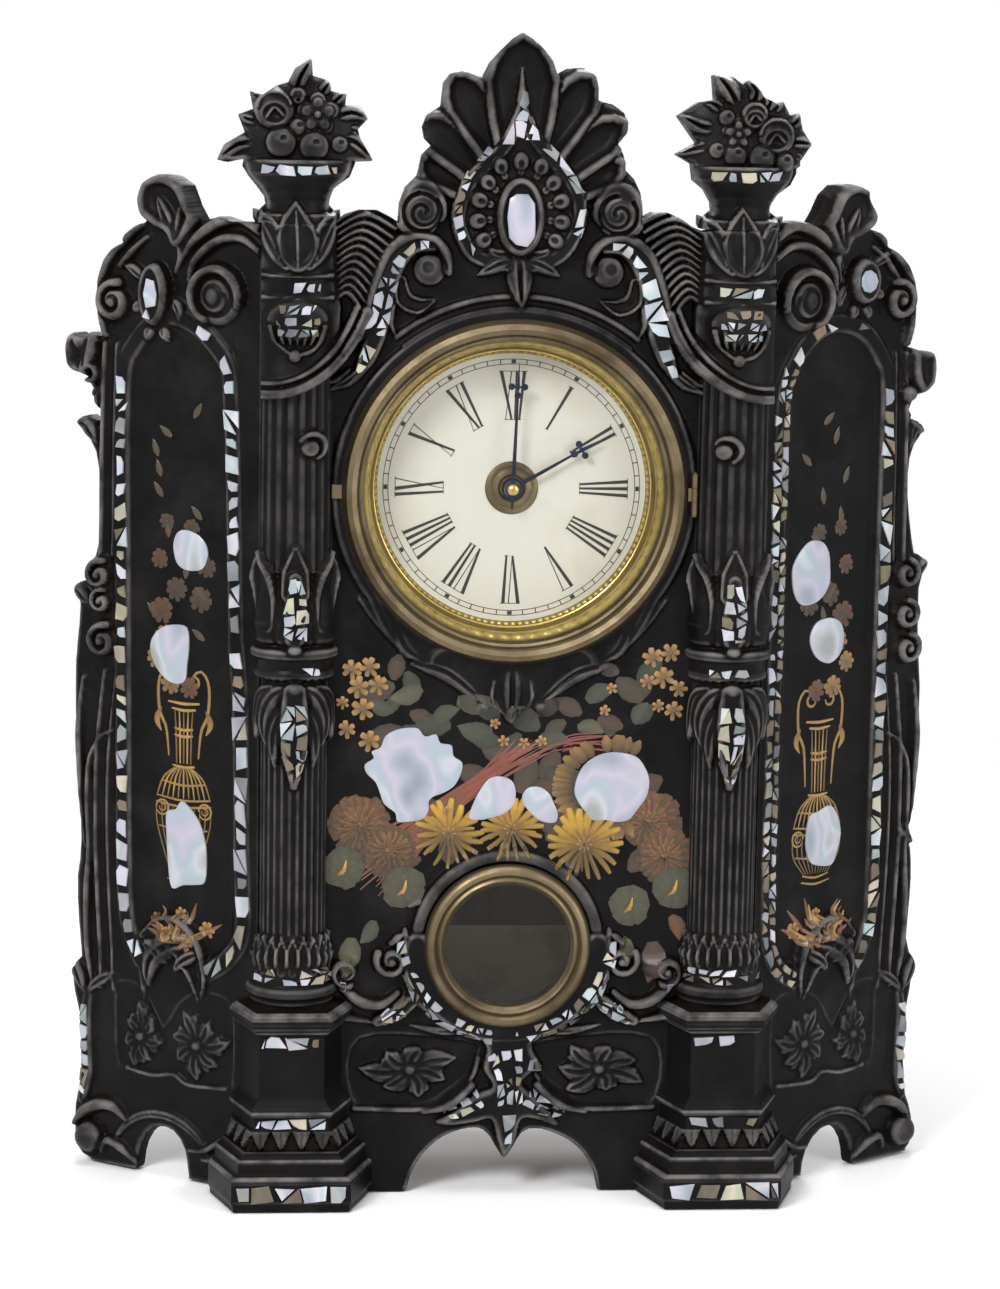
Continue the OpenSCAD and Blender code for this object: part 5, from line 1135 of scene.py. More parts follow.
def pedestal(s, name):
    """Builds a pedestal. Its cross-section at each height, outside first, is what the chips need."""
    zs = np.unique(np.concatenate([np.arange(0, COURSES[-1][0], 0.7), [c[0] for c in COURSES]]))
    table = np.array(COURSES)
    out, half, root = (softened(np.interp(zs, table[:, 0], table[:, k])) for k in (1, 2, 3))
    fracs = np.concatenate([np.linspace(0, 1, 26)[:-1], 1 + np.linspace(0, 1, 50)[:-1],
                            2 + np.linspace(0, 1, 26)])
    pts, ridge_height = [], []
    for z, o, h, w in zip(zs, out, half, root):
        for f in fracs:
            if f <= 1:
                x, y = -w + (w - h) * f, -o * f
                n = np.array([-o, -(w - h)]) / math.hypot(o, w - h)
            elif f < 2:
                x, y = -h + 2 * h * (f - 1), -o
                n = np.array([0, -1.0])
            else:
                x, y = h + (w - h) * (f - 2), -o * (3 - f)
                n = np.array([o, -(w - h)]) / math.hypot(o, w - h)
            # pointed leaves cut into the sloping course
            cut = 0
            if LEAF_LOW < z < LEAF_TOP:
                run = x / 9.2 + 20 if 1 < f < 2 else y / 8.4 + 20
                side = abs(run % 1 - 0.5) * 2
                rise = (z - LEAF_LOW) / (LEAF_TOP - LEAF_LOW)
                inside = np.clip((rise * 1.05 - side ** 1.3) * 5 + 0.4, 0, 1)
                cut = -2.2 + inside * (2.4 + 0.9 * (1 - side) - 0.8 * np.exp(-(side / 0.12) ** 2))
            pts.append((x + n[0] * cut, y + n[1] * cut, z))
            ridge_height.append(0.7 * cut)
    m, c = len(zs), len(fracs)
    pts = np.array(pts)
    place = np.stack([s * COLUMN_X + pts[:, 0] * s, FACE_Y + pts[:, 1], pts[:, 2]], 1)
    faces = [(i * c + j, i * c + j + 1, (i + 1) * c + j + 1, (i + 1) * c + j) for i in range(m - 1)
             for j in range(c - 1)]
    base = len(place)
    rear = [(s * COLUMN_X + s * v, FACE_Y + 3, z) for z, w in zip(zs, root) for v in (-w, w)]
    place = np.concatenate([place, rear])
    for i in range(m - 1):
        faces.append((base + 2 * i, i * c, (i + 1) * c, base + 2 * i + 2))
        faces.append((i * c + c - 1, base + 2 * i + 1, base + 2 * i + 3, (i + 1) * c + c - 1))
        faces.append((base + 2 * i + 1, base + 2 * i, base + 2 * i + 2, base + 2 * i + 3))
    faces.append(list(range(c - 1, -1, -1)) + [base, base + 1])
    faces.append([(m - 1) * c + j for j in range(c)] + [base + 2 * m - 1, base + 2 * m - 2])
    obj = new_mesh(name, place, faces, 40)
    bend = np.gradient(np.gradient(out, zs), zs)
    edge = np.repeat(np.clip(-bend * 0.9, -1, 1), c) + np.array(ridge_height)
    paint(obj, "ridge_height", np.concatenate([np.clip(edge, -1, 1), np.zeros(len(rear))]))
    dress_iron(obj)
    return zs, out, half, root


def softened(v):
    p = np.pad(v, 1, mode="edge")
    return (p[:-2] + 2 * p[1:-1] + p[2:]) / 4


for s, side in SIDES:
    course = pedestal(s, "front_pedestal_" + side)


# Finials: baskets of fruit and flowers on a bell-shaped neck
FINIAL = {-1: [(-114, 434), (-115.8, 438), (-116, 442), (-113, 441.5), (-110.5, 444), (-111, 447),
               (-113.5, 450.5), (-118, 456), (-120.5, 460), (-120, 463), (-127, 461.5), (-131.5, 462.5),
               (-128.5, 469), (-119.5, 474.5), (-122.5, 482), (-116, 484.5), (-117.5, 492), (-112, 490.5),
               (-106, 494.5), (-101, 496), (-98, 502), (-91, 506.5), (-90.5, 499), (-83.5, 497),
               (-82.5, 492.5), (-76, 491.5), (-76.5, 486.5), (-70, 486.5), (-66.5, 481), (-71, 476.5),
               (-70, 472.5), (-64, 463), (-71.5, 462.5), (-74, 456), (-81, 451), (-82.5, 447), (-83, 444),
               (-80.5, 441.5), (-78, 442), (-78, 438), (-79.5, 434)],
          1: [(80, 434), (78, 438), (78, 442), (81, 441.5), (84, 444), (83.6, 447.5), (80.5, 453),
              (75.5, 457), (74.5, 464), (67.5, 468), (76.5, 473), (68, 484.5), (77, 490.5), (84, 492),
              (83, 502.5), (92, 501.5), (95.5, 498.5), (98.5, 500.5), (105, 493), (111, 490),
              (113.5, 491.5), (116.5, 485.5), (121, 486.5), (122.5, 479.5), (127, 473), (121.5, 466),
              (121.5, 460.5), (119, 455.5), (113, 451), (110, 447), (109.5, 444), (113, 441.5), (116, 442),
              (115.5, 438), (113.5, 434)]}
# each leaf: three points of its spine, half width and height; each fruit or flower: centre, radius and kind
FINIAL_LEAVES = {-1: [((-112, 470), (-122, 469.5), (-131, 463), 5, 14),
                      ((-80, 472), (-72, 471), (-64.5, 463.5), 5, 14),
                      ((-98, 490), (-96, 498), (-91, 506), 5, 16),
                      ((-82, 481), (-74, 483.5), (-67, 481), 5, 15),
                      ((-110, 488), (-115, 490), (-117.5, 491.5), 3, 13),
                      ((-112, 479), (-118, 480), (-122, 482), 3.6, 13),
                      ((-88, 490), (-85, 494), (-83, 497), 4, 14),
                      ((-83, 486), (-79, 490), (-76, 491.5), 3.6, 14),
                      ((-103, 488), (-108, 492), (-112, 491), 4, 15),
                      ((-76, 476), (-72, 476), (-70, 473), 3, 12)],
                 1: [((84, 472), (76, 471), (68, 468), 5, 14), ((86, 480), (78, 480), (69, 484.5), 5.4, 15),
                     ((94, 488), (89, 496), (83.5, 502.5), 6, 16),
                     ((98, 488), (101, 495), (97, 500), 5, 15), ((88, 486), (82, 490), (78, 490), 4.4, 14),
                     ((114, 474), (121, 474), (127, 473), 4.4, 14),
                     ((113, 480), (118, 482), (121.5, 486), 3.6, 13),
                     ((108, 486), (111, 490), (113.5, 491.5), 3.6, 14),
                     ((104, 486), (107, 491), (104, 494), 4, 15),
                     ((116, 468), (120, 468), (122, 465), 3, 12)]}
FINIAL_BLOOMS = {-1: [(-104, 470.5, 6.8, "fruit"), (-90, 469, 6.6, "fruit"), (-88.5, 482.5, 9, "bloom"),
                      (-107, 484.5, 8.8, "hood"), (-97, 477, 4, "fruit"), (-79, 470, 3.6, "fruit"),
                      (-97, 490, 3.4, "hood")],
                 1: [(92, 468, 5.4, "fruit"), (103.5, 467, 6.2, "fruit"), (113.5, 465.5, 4.4, "fruit"),
                     (93, 477, 7.2, "bloom"), (100, 485, 6, "hood"), (109.5, 476.5, 8.4, "hood"),
                     (88, 484, 3.6, "fruit"), (84, 470, 3.6, "fruit")]}


def finial(s, name):
    """A basket on its neck, in the leaf cup, and what it holds."""
    cx = s * COLUMN_X
    r = Relief(min(s * 63, s * 132), max(s * 63, s * 132), 436, 507, 0.46, on_field)
    r.edge = signed(r.A, r.B, FINIAL[s])
    r.edge = np.where((r.B < 438) & (np.abs(r.A - cx) < 15), np.maximum(r.edge, 6), r.edge)
    radius = np.interp(r.B, (434, 441, 446, 450, 454, 457, 460, 463, 464),
                       (14.6, 13.4, 13.6, 15.6, 19, 21.6, 22.6, 23, 0))
    q = np.abs(r.A - cx) / np.maximum(radius, 1)
    r.h = np.where(q < 1, 0.86 * radius * np.sqrt(np.clip(1 - q**2, 0, 1)) + 1, 0)
    crown = np.clip(1 - ((r.A - cx) / 33) ** 2 - ((r.B - 466) / 40) ** 2, 0, 1)
    r.h = np.where(r.B > 463, 14 * np.sqrt(crown), r.h)
    r.stroke([(cx - 22, 463), (cx, 462.4), (cx + 22, 463)], 1.1, [5, 21.5, 5])
    leaf_cup(r, cx)
    for *line, w, h in FINIAL_LEAVES[s]:
        r.leaf(line, w, h)
    for a, b, rad, kind in FINIAL_BLOOMS[s]:
        lift = 13 if kind == "fruit" else 12
        if kind == "fruit":
            r.boss(a, b, rad, rad, rad, base=lift)
            r.boss(a + 1, b + rad * 0.3, 1.6, 1.2, -1.4, how="add", power=1)
        elif kind == "bloom":
            for k in range(5):
                c, d = heading(72 * k + 18)
                pa, pb = a + rad * 0.56 * c, b + rad * 0.56 * d
                r.boss(pa, pb, rad * 0.5, rad * 0.42, 4.6, 72 * k + 18, base=lift)
                r.stroke(arc(pa, pb, rad * 0.3, 72 * k - 70, 72 * k + 110, 9), 0.7, -1.3, soft_section,
                         "add")
            r.boss(a, b, rad * 0.24, rad * 0.24, 7, base=lift)
        else:
            r.boss(a, b, rad, rad, 6.4, base=lift, power=0.4)
            r.boss(a, b - rad * 0.2, rad * 0.6, rad * 0.5, -4.4, how="add", power=0.8)
            r.stroke(arc(a, b, rad * 0.84, 20, 170, 12), 1, 6.8, base=lift)
            r.stroke([(a - rad * 0.4, b - rad * 0.4), (a, b + rad * 0.1), (a + rad * 0.45, b - rad * 0.3)],
                     1.2, 5, base=lift)
    r.finish(1, 2)
    dress_iron(r.build(name + "_cast"), name)
    return r


finials = {s: finial(s, "finial_" + side) for s, side in SIDES}


# Mother of pearl
CHIP_THICK, PLAQUE_THICK = 0.8, 0.9
WHITE = (1.0, 1.0, 1.05, 1)


class Shards:
    """Flat pieces laid on the surfaces, gathered into one mesh."""

    def __init__(self, seed):
        self.rng = random.Random(seed)
        self.points, self.faces, self.tones = [], [], []

    def tone(self, bright):
        """White for a share of the pieces, and else straw, grey or brown."""
        v = self.rng.random()
        k = self.rng.uniform(0.62, 1.35)
        if v < bright:
            return (k, k, k, 1)
        if v < bright + 0.18:
            return (k * 0.9, k * 0.8, k * 0.58, 1)
        if v < bright + 0.28:
            return (k * 0.5, k * 0.5, k * 0.48, 1)
        return (k * 0.36, k * 0.28, k * 0.18, 1)

    def lay(self, surface, outline, thick, tone, dome=0.0, follow=True):
        """One piece: outline corners on the surface, a bevelled edge and a flat or domed top."""
        p = np.asarray(outline, float)
        mid = p.mean(0)
        tilt = (self.rng.uniform(-0.05, 0.05), self.rng.uniform(-0.05, 0.05))
        rings = [(1.0, -0.6), (0.985, thick * 0.7), (0.93, thick)]
        if dome:
            rings += [(0.75, thick + dome * 0.45), (0.5, thick + dome * 0.8), (0.25, thick + dome * 0.95)]
        start = len(self.points)
        n = len(p)
        level = float(np.mean(surface.height(p[:, 0], p[:, 1])))
        for scale, lift in rings:
            q = mid + (p - mid) * scale
            h = surface.height(q[:, 0], q[:, 1]) if follow else np.full(n, level)
            h = h + lift + ((q - mid) @ tilt) * (0 if dome else 1)
            self.points += surface.place(q[:, 0], q[:, 1], h).tolist()
        for k in range(len(rings) - 1):
            for i in range(n):
                j = (i + 1) % n
                self.faces.append((start + k * n + i, start + k * n + j, start + (k + 1) * n + j,
                                   start + (k + 1) * n + i))
        self.faces.append([start + (len(rings) - 1) * n + i for i in range(n)])
        self.faces.append([start + i for i in range(n)][::-1])
        self.tones += [tone] * (n * len(rings))

    def row(self, surface, line, half, step, across=1, gap=0.5, bright=0.6, split=0.35, skip=0.0):
        """Irregular shards along a line, in rows across its half width; some are split and some are lost."""
        p = curve(line)
        s = lengths(p)
        nrm = normals(p)
        halves = spread(s / s[-1], half)
        rng = self.rng

        def spot(d, side):
            d = min(max(d, 0), s[-1])
            w = np.interp(d, s, halves) * side
            return np.array([np.interp(d, s, p[:, 0]) + w * np.interp(d, s, nrm[:, 0]),
                             np.interp(d, s, p[:, 1]) + w * np.interp(d, s, nrm[:, 1])])

        for lane in range(across):
            lo, hi = -1 + 2 * lane / across, -1 + 2 * (lane + 1) / across
            d, lean = rng.uniform(0, 0.3) * step, 0.0
            while d < s[-1] - 0.3 * step:
                e = min(d + step * rng.uniform(0.65, 1.4), s[-1])
                lean2 = rng.uniform(-0.22, 0.22) * step
                quad = [spot(d - lean, lo), spot(e - lean2, lo), spot(e + lean2, hi), spot(d + lean, hi)]
                picks = ((0, 1, 2, 3),)
                if rng.random() < split:
                    picks = ((0, 1, 2), (0, 2, 3)) if rng.random() < 0.5 else ((0, 1, 3), (1, 2, 3))
                parts = [[quad[i] for i in pick] for pick in picks]
                for part in parts:
                    if rng.random() < skip:
                        continue
                    part = np.array(part)
                    mid = part.mean(0)
                    size = np.hypot(*(part - mid).T).mean()
                    part = mid + (part - mid) * max(0.5, 1 - gap / size) * rng.uniform(0.84, 1.02)
                    part += np.array([[rng.uniform(-1, 1), rng.uniform(-1, 1)] for _ in part]) * 0.15 * size
                    if len(part) == 4 and rng.random() < 0.7:
                        k = rng.randrange(4)
                        a, b, c = part[k - 1], part[k], part[(k + 1) % 4]
                        part = np.array([*part[:k], b + (a - b) * 0.35, b + (c - b) * 0.3, *part[k + 1:]])
                    self.lay(surface, part, CHIP_THICK, self.tone(bright))
                d, lean = e, lean2

    def mesh(self, name):
        obj = new_mesh(name, self.points, self.faces, 30)
        paint(obj, "tone", self.tones)
        return obj


chips = Shards(7)


def lay_chips():
    """All chips of the cast front but those of the pedestals."""
    # crest arch: its point and two sides
    for part in ([(-1.4, 488), (1.2, 486), (3.4, 489), (2.6, 493.5), (0.6, 494.5)],
                 [(-1, 485), (-3, 481.5), (2.2, 481), (3, 484.5), (0.6, 486)],
                 [(-8.5, 471), (-3.2, 471), (-3, 476), (-3.6, 481)],
                 [(-2.4, 474.6), (1.2, 473.6), (2.2, 480), (-0.4, 481.8), (-3, 481)],
                 [(1.8, 473), (8, 473), (7, 477.5), (4.6, 480)], [(3.2, 481), (6, 480), (4.6, 483.5)]):
        chips.lay(field, part, CHIP_THICK, chips.tone(0.85))
    chips.row(field, [(-12.5, 470), (-18.5, 463), (-23, 457), (-26.5, 447), (-27.3, 439), (-25, 430),
                      (-19, 423)], 2.2, 6, gap=0.7, skip=0.1)
    chips.row(field, [(10.5, 471.5), (17, 464.5), (22, 458.5), (26.5, 449), (27, 440), (24.5, 431)], 2.2, 7,
              gap=0.6, bright=0.7, skip=0.1)
    for s in (-1, 1):
        chips.row(field, at(s, (38, 427.4), (45, 427.4), (51, 422), (55, 414)), [2.6, 3], 7, gap=0.9,
                  bright=0.8, split=0.2)
        chips.row(field, at(s, (56.5, 414), (58.5, 405), (60.5, 396), (63, 387)), [4.2, 5, 5], 8,
                  2 if s < 0 else 1, gap=0.9, bright=0.8)
        chips.row(field, at(s, (63.5, 386), (66.5, 378), (70.5, 370)), [4, 3.4, 2], 8, gap=0.9, bright=0.8,
                  split=0.25)
        cx = s * COLUMN_X
        chips.row(field, [(cx - 11.5, 409), (cx, 408.6), (cx + 11, 409)], 2.5, 6, gap=0.9, bright=0.55,
                  skip=0.15)
        for z, w in ((399.5, 9.5), (394.5, 11), (389.5, 9.5)):
            chips.row(field, [(cx - w, z), (cx, z), (cx + w, z)], 2.2, 5, gap=0.7, bright=0.45, skip=0.25)
        col = columns[s]
        chips.row(col, [(-10, 241), (0, 241), (11, 241)], 2.2, 6, gap=0.8, bright=0.6, skip=0.2)
        chips.row(col, [(0, 283), (0.5, 270), (0, 255)], [2.5, 5, 4.6], 7, 2, gap=0.7, bright=0.62)
        chips.row(col, [(0, 228), (0, 214), (0, 202), (0, 192)], [3, 5, 5, 2], 6.5, 2, gap=0.6, bright=0.55)
        chips.row(col, [(-20, 102.2), (0, 101.8), (20, 102.2)], 2.0, 5.4, gap=0.9, bright=0.4, skip=0.15)
        chips.row(col, [(-17, 106), (0, 105.5), (17, 106)], 1.7, 5, gap=0.8, bright=0.3, skip=0.35)
        # beside and under the window
        chips.row(field, at(s, (48, 119), (47, 112), (45, 106)), [2, 3.4], 6, gap=0.9, bright=0.75,
                  split=0.5)
        chips.row(field, at(s, (44.5, 104), (40.5, 95), (34.5, 87), (26, 80), (14, 75), (4, 73)),
                  [3.6, 4.6, 4.8, 4.6, 4.2, 4], 6.2, 2, gap=1.15, bright=0.55, split=0.35, skip=0.06)
        chips.row(field, at(s, (42, 90), (50, 84.5), (58, 80)), [4, 4.6, 2.4], 6.2, 2, gap=1.2, bright=0.5,
                  split=0.35, skip=0.15)
        chips.row(field, at(s, (73.5, 100), (73.8, 93)), 1.8, 7, gap=0.5, bright=0.7)
        chips.row(field, at(s, (9, 46), (18, 40.5), (28, 35.5)), [4.4, 4, 2.4], 6, 2, gap=1.2, bright=0.5,
                  split=0.3, skip=0.08)
        # wings
        wing = wings[s]
        if s < 0:
            chips.row(wing, BORDER[s][0:3], 4, 10, gap=1.9, bright=0.75, split=0.1)
            chips.row(wing, BORDER[s][2:6], [3.6, 3.2, 2.8], 10, gap=1.7, bright=0.8, split=0.1, skip=0.2)
            chips.row(wing, BORDER[s][9:], 3.7, 9.5, gap=1.9, bright=0.62, split=0.12, skip=0.08)
            chips.row(wing, BORDER_LOW[s], [4.2, 4.2, 3.8, 3.6], 10.5, gap=1.8, bright=0.7, split=0.12)
        else:
            chips.row(wing, BORDER[s][0:4], 4.6, 6, 2, gap=1.0, bright=0.3, split=0.5, skip=0.12)
            chips.row(wing, BORDER[s][3:8], 3.4, 7.4, gap=1.2, bright=0.2, split=0.3, skip=0.22)
            chips.row(wing, BORDER[s][9:], 3.8, 8, gap=1.3, bright=0.42, split=0.25, skip=0.05)
            chips.row(wing, BORDER_LOW[s], 4.4, 7, 2, gap=1.1, bright=0.4, split=0.3, skip=0.08)
        chips.row(wing, [(91.5, 77), (92.5, 66), (91.5, 55), (91.5, 44), (94.5, 32)], [2, 3, 3.2, 3, 2.4],
                  8, gap=0.9, bright=0.5)
        chips.row(finials[s], [(cx - 18, 459), (cx, 458.4), (cx + 17, 459)], 2.5, 7, gap=0.8, bright=0.85,
                  split=0.2)
    # pendant
    chips.row(field, [(0, 68), (1, 60), (2, 51), (2.5, 40)], [9, 8, 5, 7], 6.2, 3, gap=1.2, bright=0.5,
              split=0.35, skip=0.06)
    chips.row(field, [(2, 38), (2, 30), (1.6, 22)], [5, 3, 2], 7, 1, gap=0.9, bright=0.75, split=0.15)
    for part in ([(10, 58), (15, 57), (17, 56), (14, 63), (11, 62.5)],
                 [(-8, 62), (-3, 63), (-5, 66), (-8, 64)]):
        chips.lay(field, part, PLAQUE_THICK, chips.tone(1))


lay_chips()

plaques = Shards(3)


def lay_plaque(surface, outline):
    plaques.lay(surface, curve(outline, True, 3), PLAQUE_THICK, WHITE, 0.5, False)


for outline in ([(-45, 214), (-41, 213.5), (-38, 210), (-33, 211), (-31, 207), (-26, 206), (-25, 201),
                 (-21, 198), (-22, 192), (-25, 187), (-30, 184), (-34, 182.5), (-36, 180), (-36, 176),
                 (-39, 172), (-45, 171), (-50, 171), (-51, 175), (-56, 179), (-58, 184), (-60, 189),
                 (-64, 193), (-65, 197), (-61, 200), (-62, 203), (-58, 205), (-56, 210), (-51, 213)],
                [(-18, 173), (-16, 180), (-13, 186), (-9, 191), (-4, 192), (1, 190), (3, 185), (2, 179),
                 (-2, 175), (-8, 173), (-13, 172)],
                [(9, 176), (6, 180), (6, 184), (9, 187), (14, 187), (18, 184), (20, 180), (22, 175),
                 (21, 171), (16, 171), (12, 173)],
                [(50, 203), (57, 201), (61, 196), (63, 190), (62, 183), (58, 177), (54, 172), (48, 171),
                 (43, 172), (37, 172), (34, 176), (31, 180), (29, 185), (30, 191), (33, 197), (38, 201),
                 (44, 203)]):
    lay_plaque(field, outline)
for s, parts in ((-1, ([(38, 299), (43, 298), (45.5, 293), (45, 287), (43, 283), (39, 281), (33, 281),
                        (29, 283), (27, 288), (28, 293), (32, 297)],
                       [(38, 255), (45, 256), (52, 254), (57, 249), (58, 243), (55, 236), (50, 231),
                        (44, 229), (39, 231), (38, 238), (37, 246)],
                       [(41, 176), (44, 172), (49, 170), (49, 160), (48, 145), (46, 135), (40, 137),
                        (33, 138), (28, 140), (27, 150), (28, 159), (31, 167), (36, 173)])),
                 (1, ([(22, 293), (28, 297), (35, 296), (39, 291), (40, 284), (40, 277), (36, 271),
                       (30, 268), (23, 268), (19, 272), (17, 278), (17, 286)],
                      [(34, 260), (42, 261), (48, 258), (50, 252), (49, 246), (46, 242), (41, 240),
                       (35, 242), (31, 246), (29, 251), (30, 256)],
                      [(32, 170), (38, 172), (45, 174), (50, 168), (52, 160), (50, 152), (47, 146),
                       (40, 146), (34, 148), (31, 153), (30, 160)]))):
    for outline in parts:
        lay_plaque(wings[s], outline)
    if s > 0:
        chips.lay(wings[s], circle(51, 413, 5.2, 9), PLAQUE_THICK, (0.7, 0.76, 0.85, 1))
    else:
        chips.lay(wings[s], [(50, 398), (55, 397), (56.5, 403), (55, 410), (51, 409), (49.5, 403)],
                  PLAQUE_THICK, WHITE)
        chips.lay(wings[s], [(53, 392), (56.5, 393), (55, 396.5)], PLAQUE_THICK, WHITE)
plaques.lay(field, [(-5, 448), (-2, 450), (3, 450), (6, 446), (6.4, 438), (6.4, 431), (3, 427), (-2, 428),
                    (-5, 431), (-6, 440)], 1.0, WHITE, 0.7, False)
dress(plaques.mesh("pearl_plaques_laid"), PEARL, "pearl_plaques", slot="pearl")


# Chips on the pedestal courses
class CourseSurface:
    """The front and canted sides of a pedestal, rolled out: a is the distance round from the middle."""

    def __init__(self, side):
        self.side = side

    def height(self, a, b):
        return np.zeros_like(np.asarray(a, float))

    def place(self, a, b, h):
        zs, out, half, root = course
        o, hw, w = (np.interp(b, zs, v) for v in (out, half, root))
        slope = np.hypot(o, w - hw)
        over = np.clip(np.abs(a) - hw, 0, None)
        f = over / slope
        sx = np.sign(a)
        x = np.where(over > 0, sx * (hw + (w - hw) * f), a)
        y = np.where(over > 0, -o * (1 - f), -o)
        nx = np.where(over > 0, sx * o / slope, 0)
        ny = np.where(over > 0, -(w - hw) / slope, -1)
        return np.stack([self.side * (COLUMN_X + x + nx * h), FACE_Y + y + ny * h, b + 0 * a], -1)


for s in (-1, 1):
    canted = CourseSurface(s)
    chips.row(canted, [(-14.5, 75.2), (14.5, 75.2)], 3, 8, gap=0.9, bright=0.55, split=0.25, skip=0.1)
    chips.row(canted, [(-16.5, 38.7), (16.5, 38.7)], 2.5, 8, gap=0.8, bright=0.5, split=0.15, skip=0.05)
    chips.row(canted, [(-25.5, 8.2), (25.5, 8.2)], 4.2, 9.5, gap=0.8, bright=0.42, split=0.2)
dress(chips.mesh("pearl_chips_laid"), PEARL, "pearl_chips", slot="pearl")


# Painted flowers: thin strokes of paint on the surface
class Brush:
    """Strokes of paint, gathered into one mesh with their colours."""

    def __init__(self, seed):
        self.rng = random.Random(seed)
        self.points, self.faces, self.tints = [], [], []
        self.level = 0.0

    def stroke(self, surface, spine, width, one, two, body=0.25, rows=9, edge=0.6):
        """A leaf-shaped dab: its colour runs from one at its foot to two at its tip, darker at its edge."""
        p = curve(spine, per=4)
        s = lengths(p)
        t = np.linspace(0, 1, rows)
        mid = np.stack([np.interp(t * s[-1], s, p[:, k]) for k in (0, 1)], 1)
        n = normals(mid, 1e-9)
        w = spread(t, width)
        # each stroke lies a little over the one before
        self.level += 0.0006
        start = len(self.points)
        for side, lift, shade in ((-1, 0.04, edge), (-0.6, body * 0.7, 0.9), (0, body, 1.08),
                                  (0.6, body * 0.7, 0.9), (1, 0.04, edge)):
            q = mid + n * (w * side)[:, None]
            h = surface.height(q[:, 0], q[:, 1]) + lift + self.level
            self.points += surface.place(q[:, 0], q[:, 1], h).tolist()
            for v in t:
                c = [(a + (b - a) * v) * shade for a, b in zip(one, two)]
                self.tints.append((*c, 1))
        for k in range(4):
            for i in range(rows - 1):
                a = start + k * rows + i
                self.faces.append((a, a + 1, a + rows + 1, a + rows))
        for i in range(rows - 1):
            self.faces.append((start + i + 1, start + i, start + 4 * rows + i, start + 4 * rows + i + 1))
        self.faces.append([start + k * rows for k in range(5)])
        self.faces.append([start + k * rows + rows - 1 for k in range(4, -1, -1)])

    def line(self, surface, spine, width, colour):
        """A thin line of one colour."""
        self.stroke(surface, spine, [width * 0.7, width, width, width * 0.5], colour, colour, 0.14,
                    max(7, 3 * len(spine)), 0.7)

    def bloom(self, surface, a, b, r, petals, one, two, width=0.13, inner=0.14, turn=0, lit=0.35, edge=0.6):
        """A round of petals about a heart, brighter above than below."""
        for k in range(petals):
            t = math.radians(turn + 360 * k / petals) + self.rng.uniform(-0.07, 0.07)
            c, d = math.cos(t), math.sin(t)
            reach = r * self.rng.uniform(0.9, 1.04)
            glow = 1 - lit * (1 - d) / 2
            w = r * width * (1 - 0.35 * lit * (1 - d))
            bend = self.rng.uniform(-0.06, 0.06) * r
            self.stroke(surface, [(a + r * inner * c, b + r * inner * d),
                                  (a + reach * 0.6 * c - bend * d, b + reach * 0.6 * d + bend * c),
                                  (a + reach * c, b + reach * d)],
                        [w * v for v in (0.3, 0.6, 0.84, 1, 1.05, 1, 0.68)], dim(one, glow), dim(two, glow),
                        edge=edge)

    def dab(self, surface, a, b, r, colour):
        """A short round touch of the brush."""
        self.stroke(surface, [(a - r, b), (a, b + 0.1), (a + r, b)], [r * 0.2, r, r * 0.2], colour, colour,
                    0.2, 7, 0.75)

    def mesh(self, name):
        obj = new_mesh(name, self.points, self.faces, 60)
        paint(obj, "tint", self.tints)
        return obj


def dim(tone, *by):
    """A colour times one or more factors."""
    return [math.prod((v, *by)) for v in tone]


YELLOW, AMBER = (0.60, 0.345, 0.03), (0.22, 0.105, 0.018)
OCHRE, BROWN = (0.42, 0.24, 0.07), (0.13, 0.065, 0.025)
RUST, RED = (0.20, 0.075, 0.03), (0.20, 0.045, 0.03)
MOSS, GREEN = (0.085, 0.08, 0.045), (0.05, 0.055, 0.035)
GOLD, DULL = (0.34, 0.195, 0.04), (0.13, 0.07, 0.018)


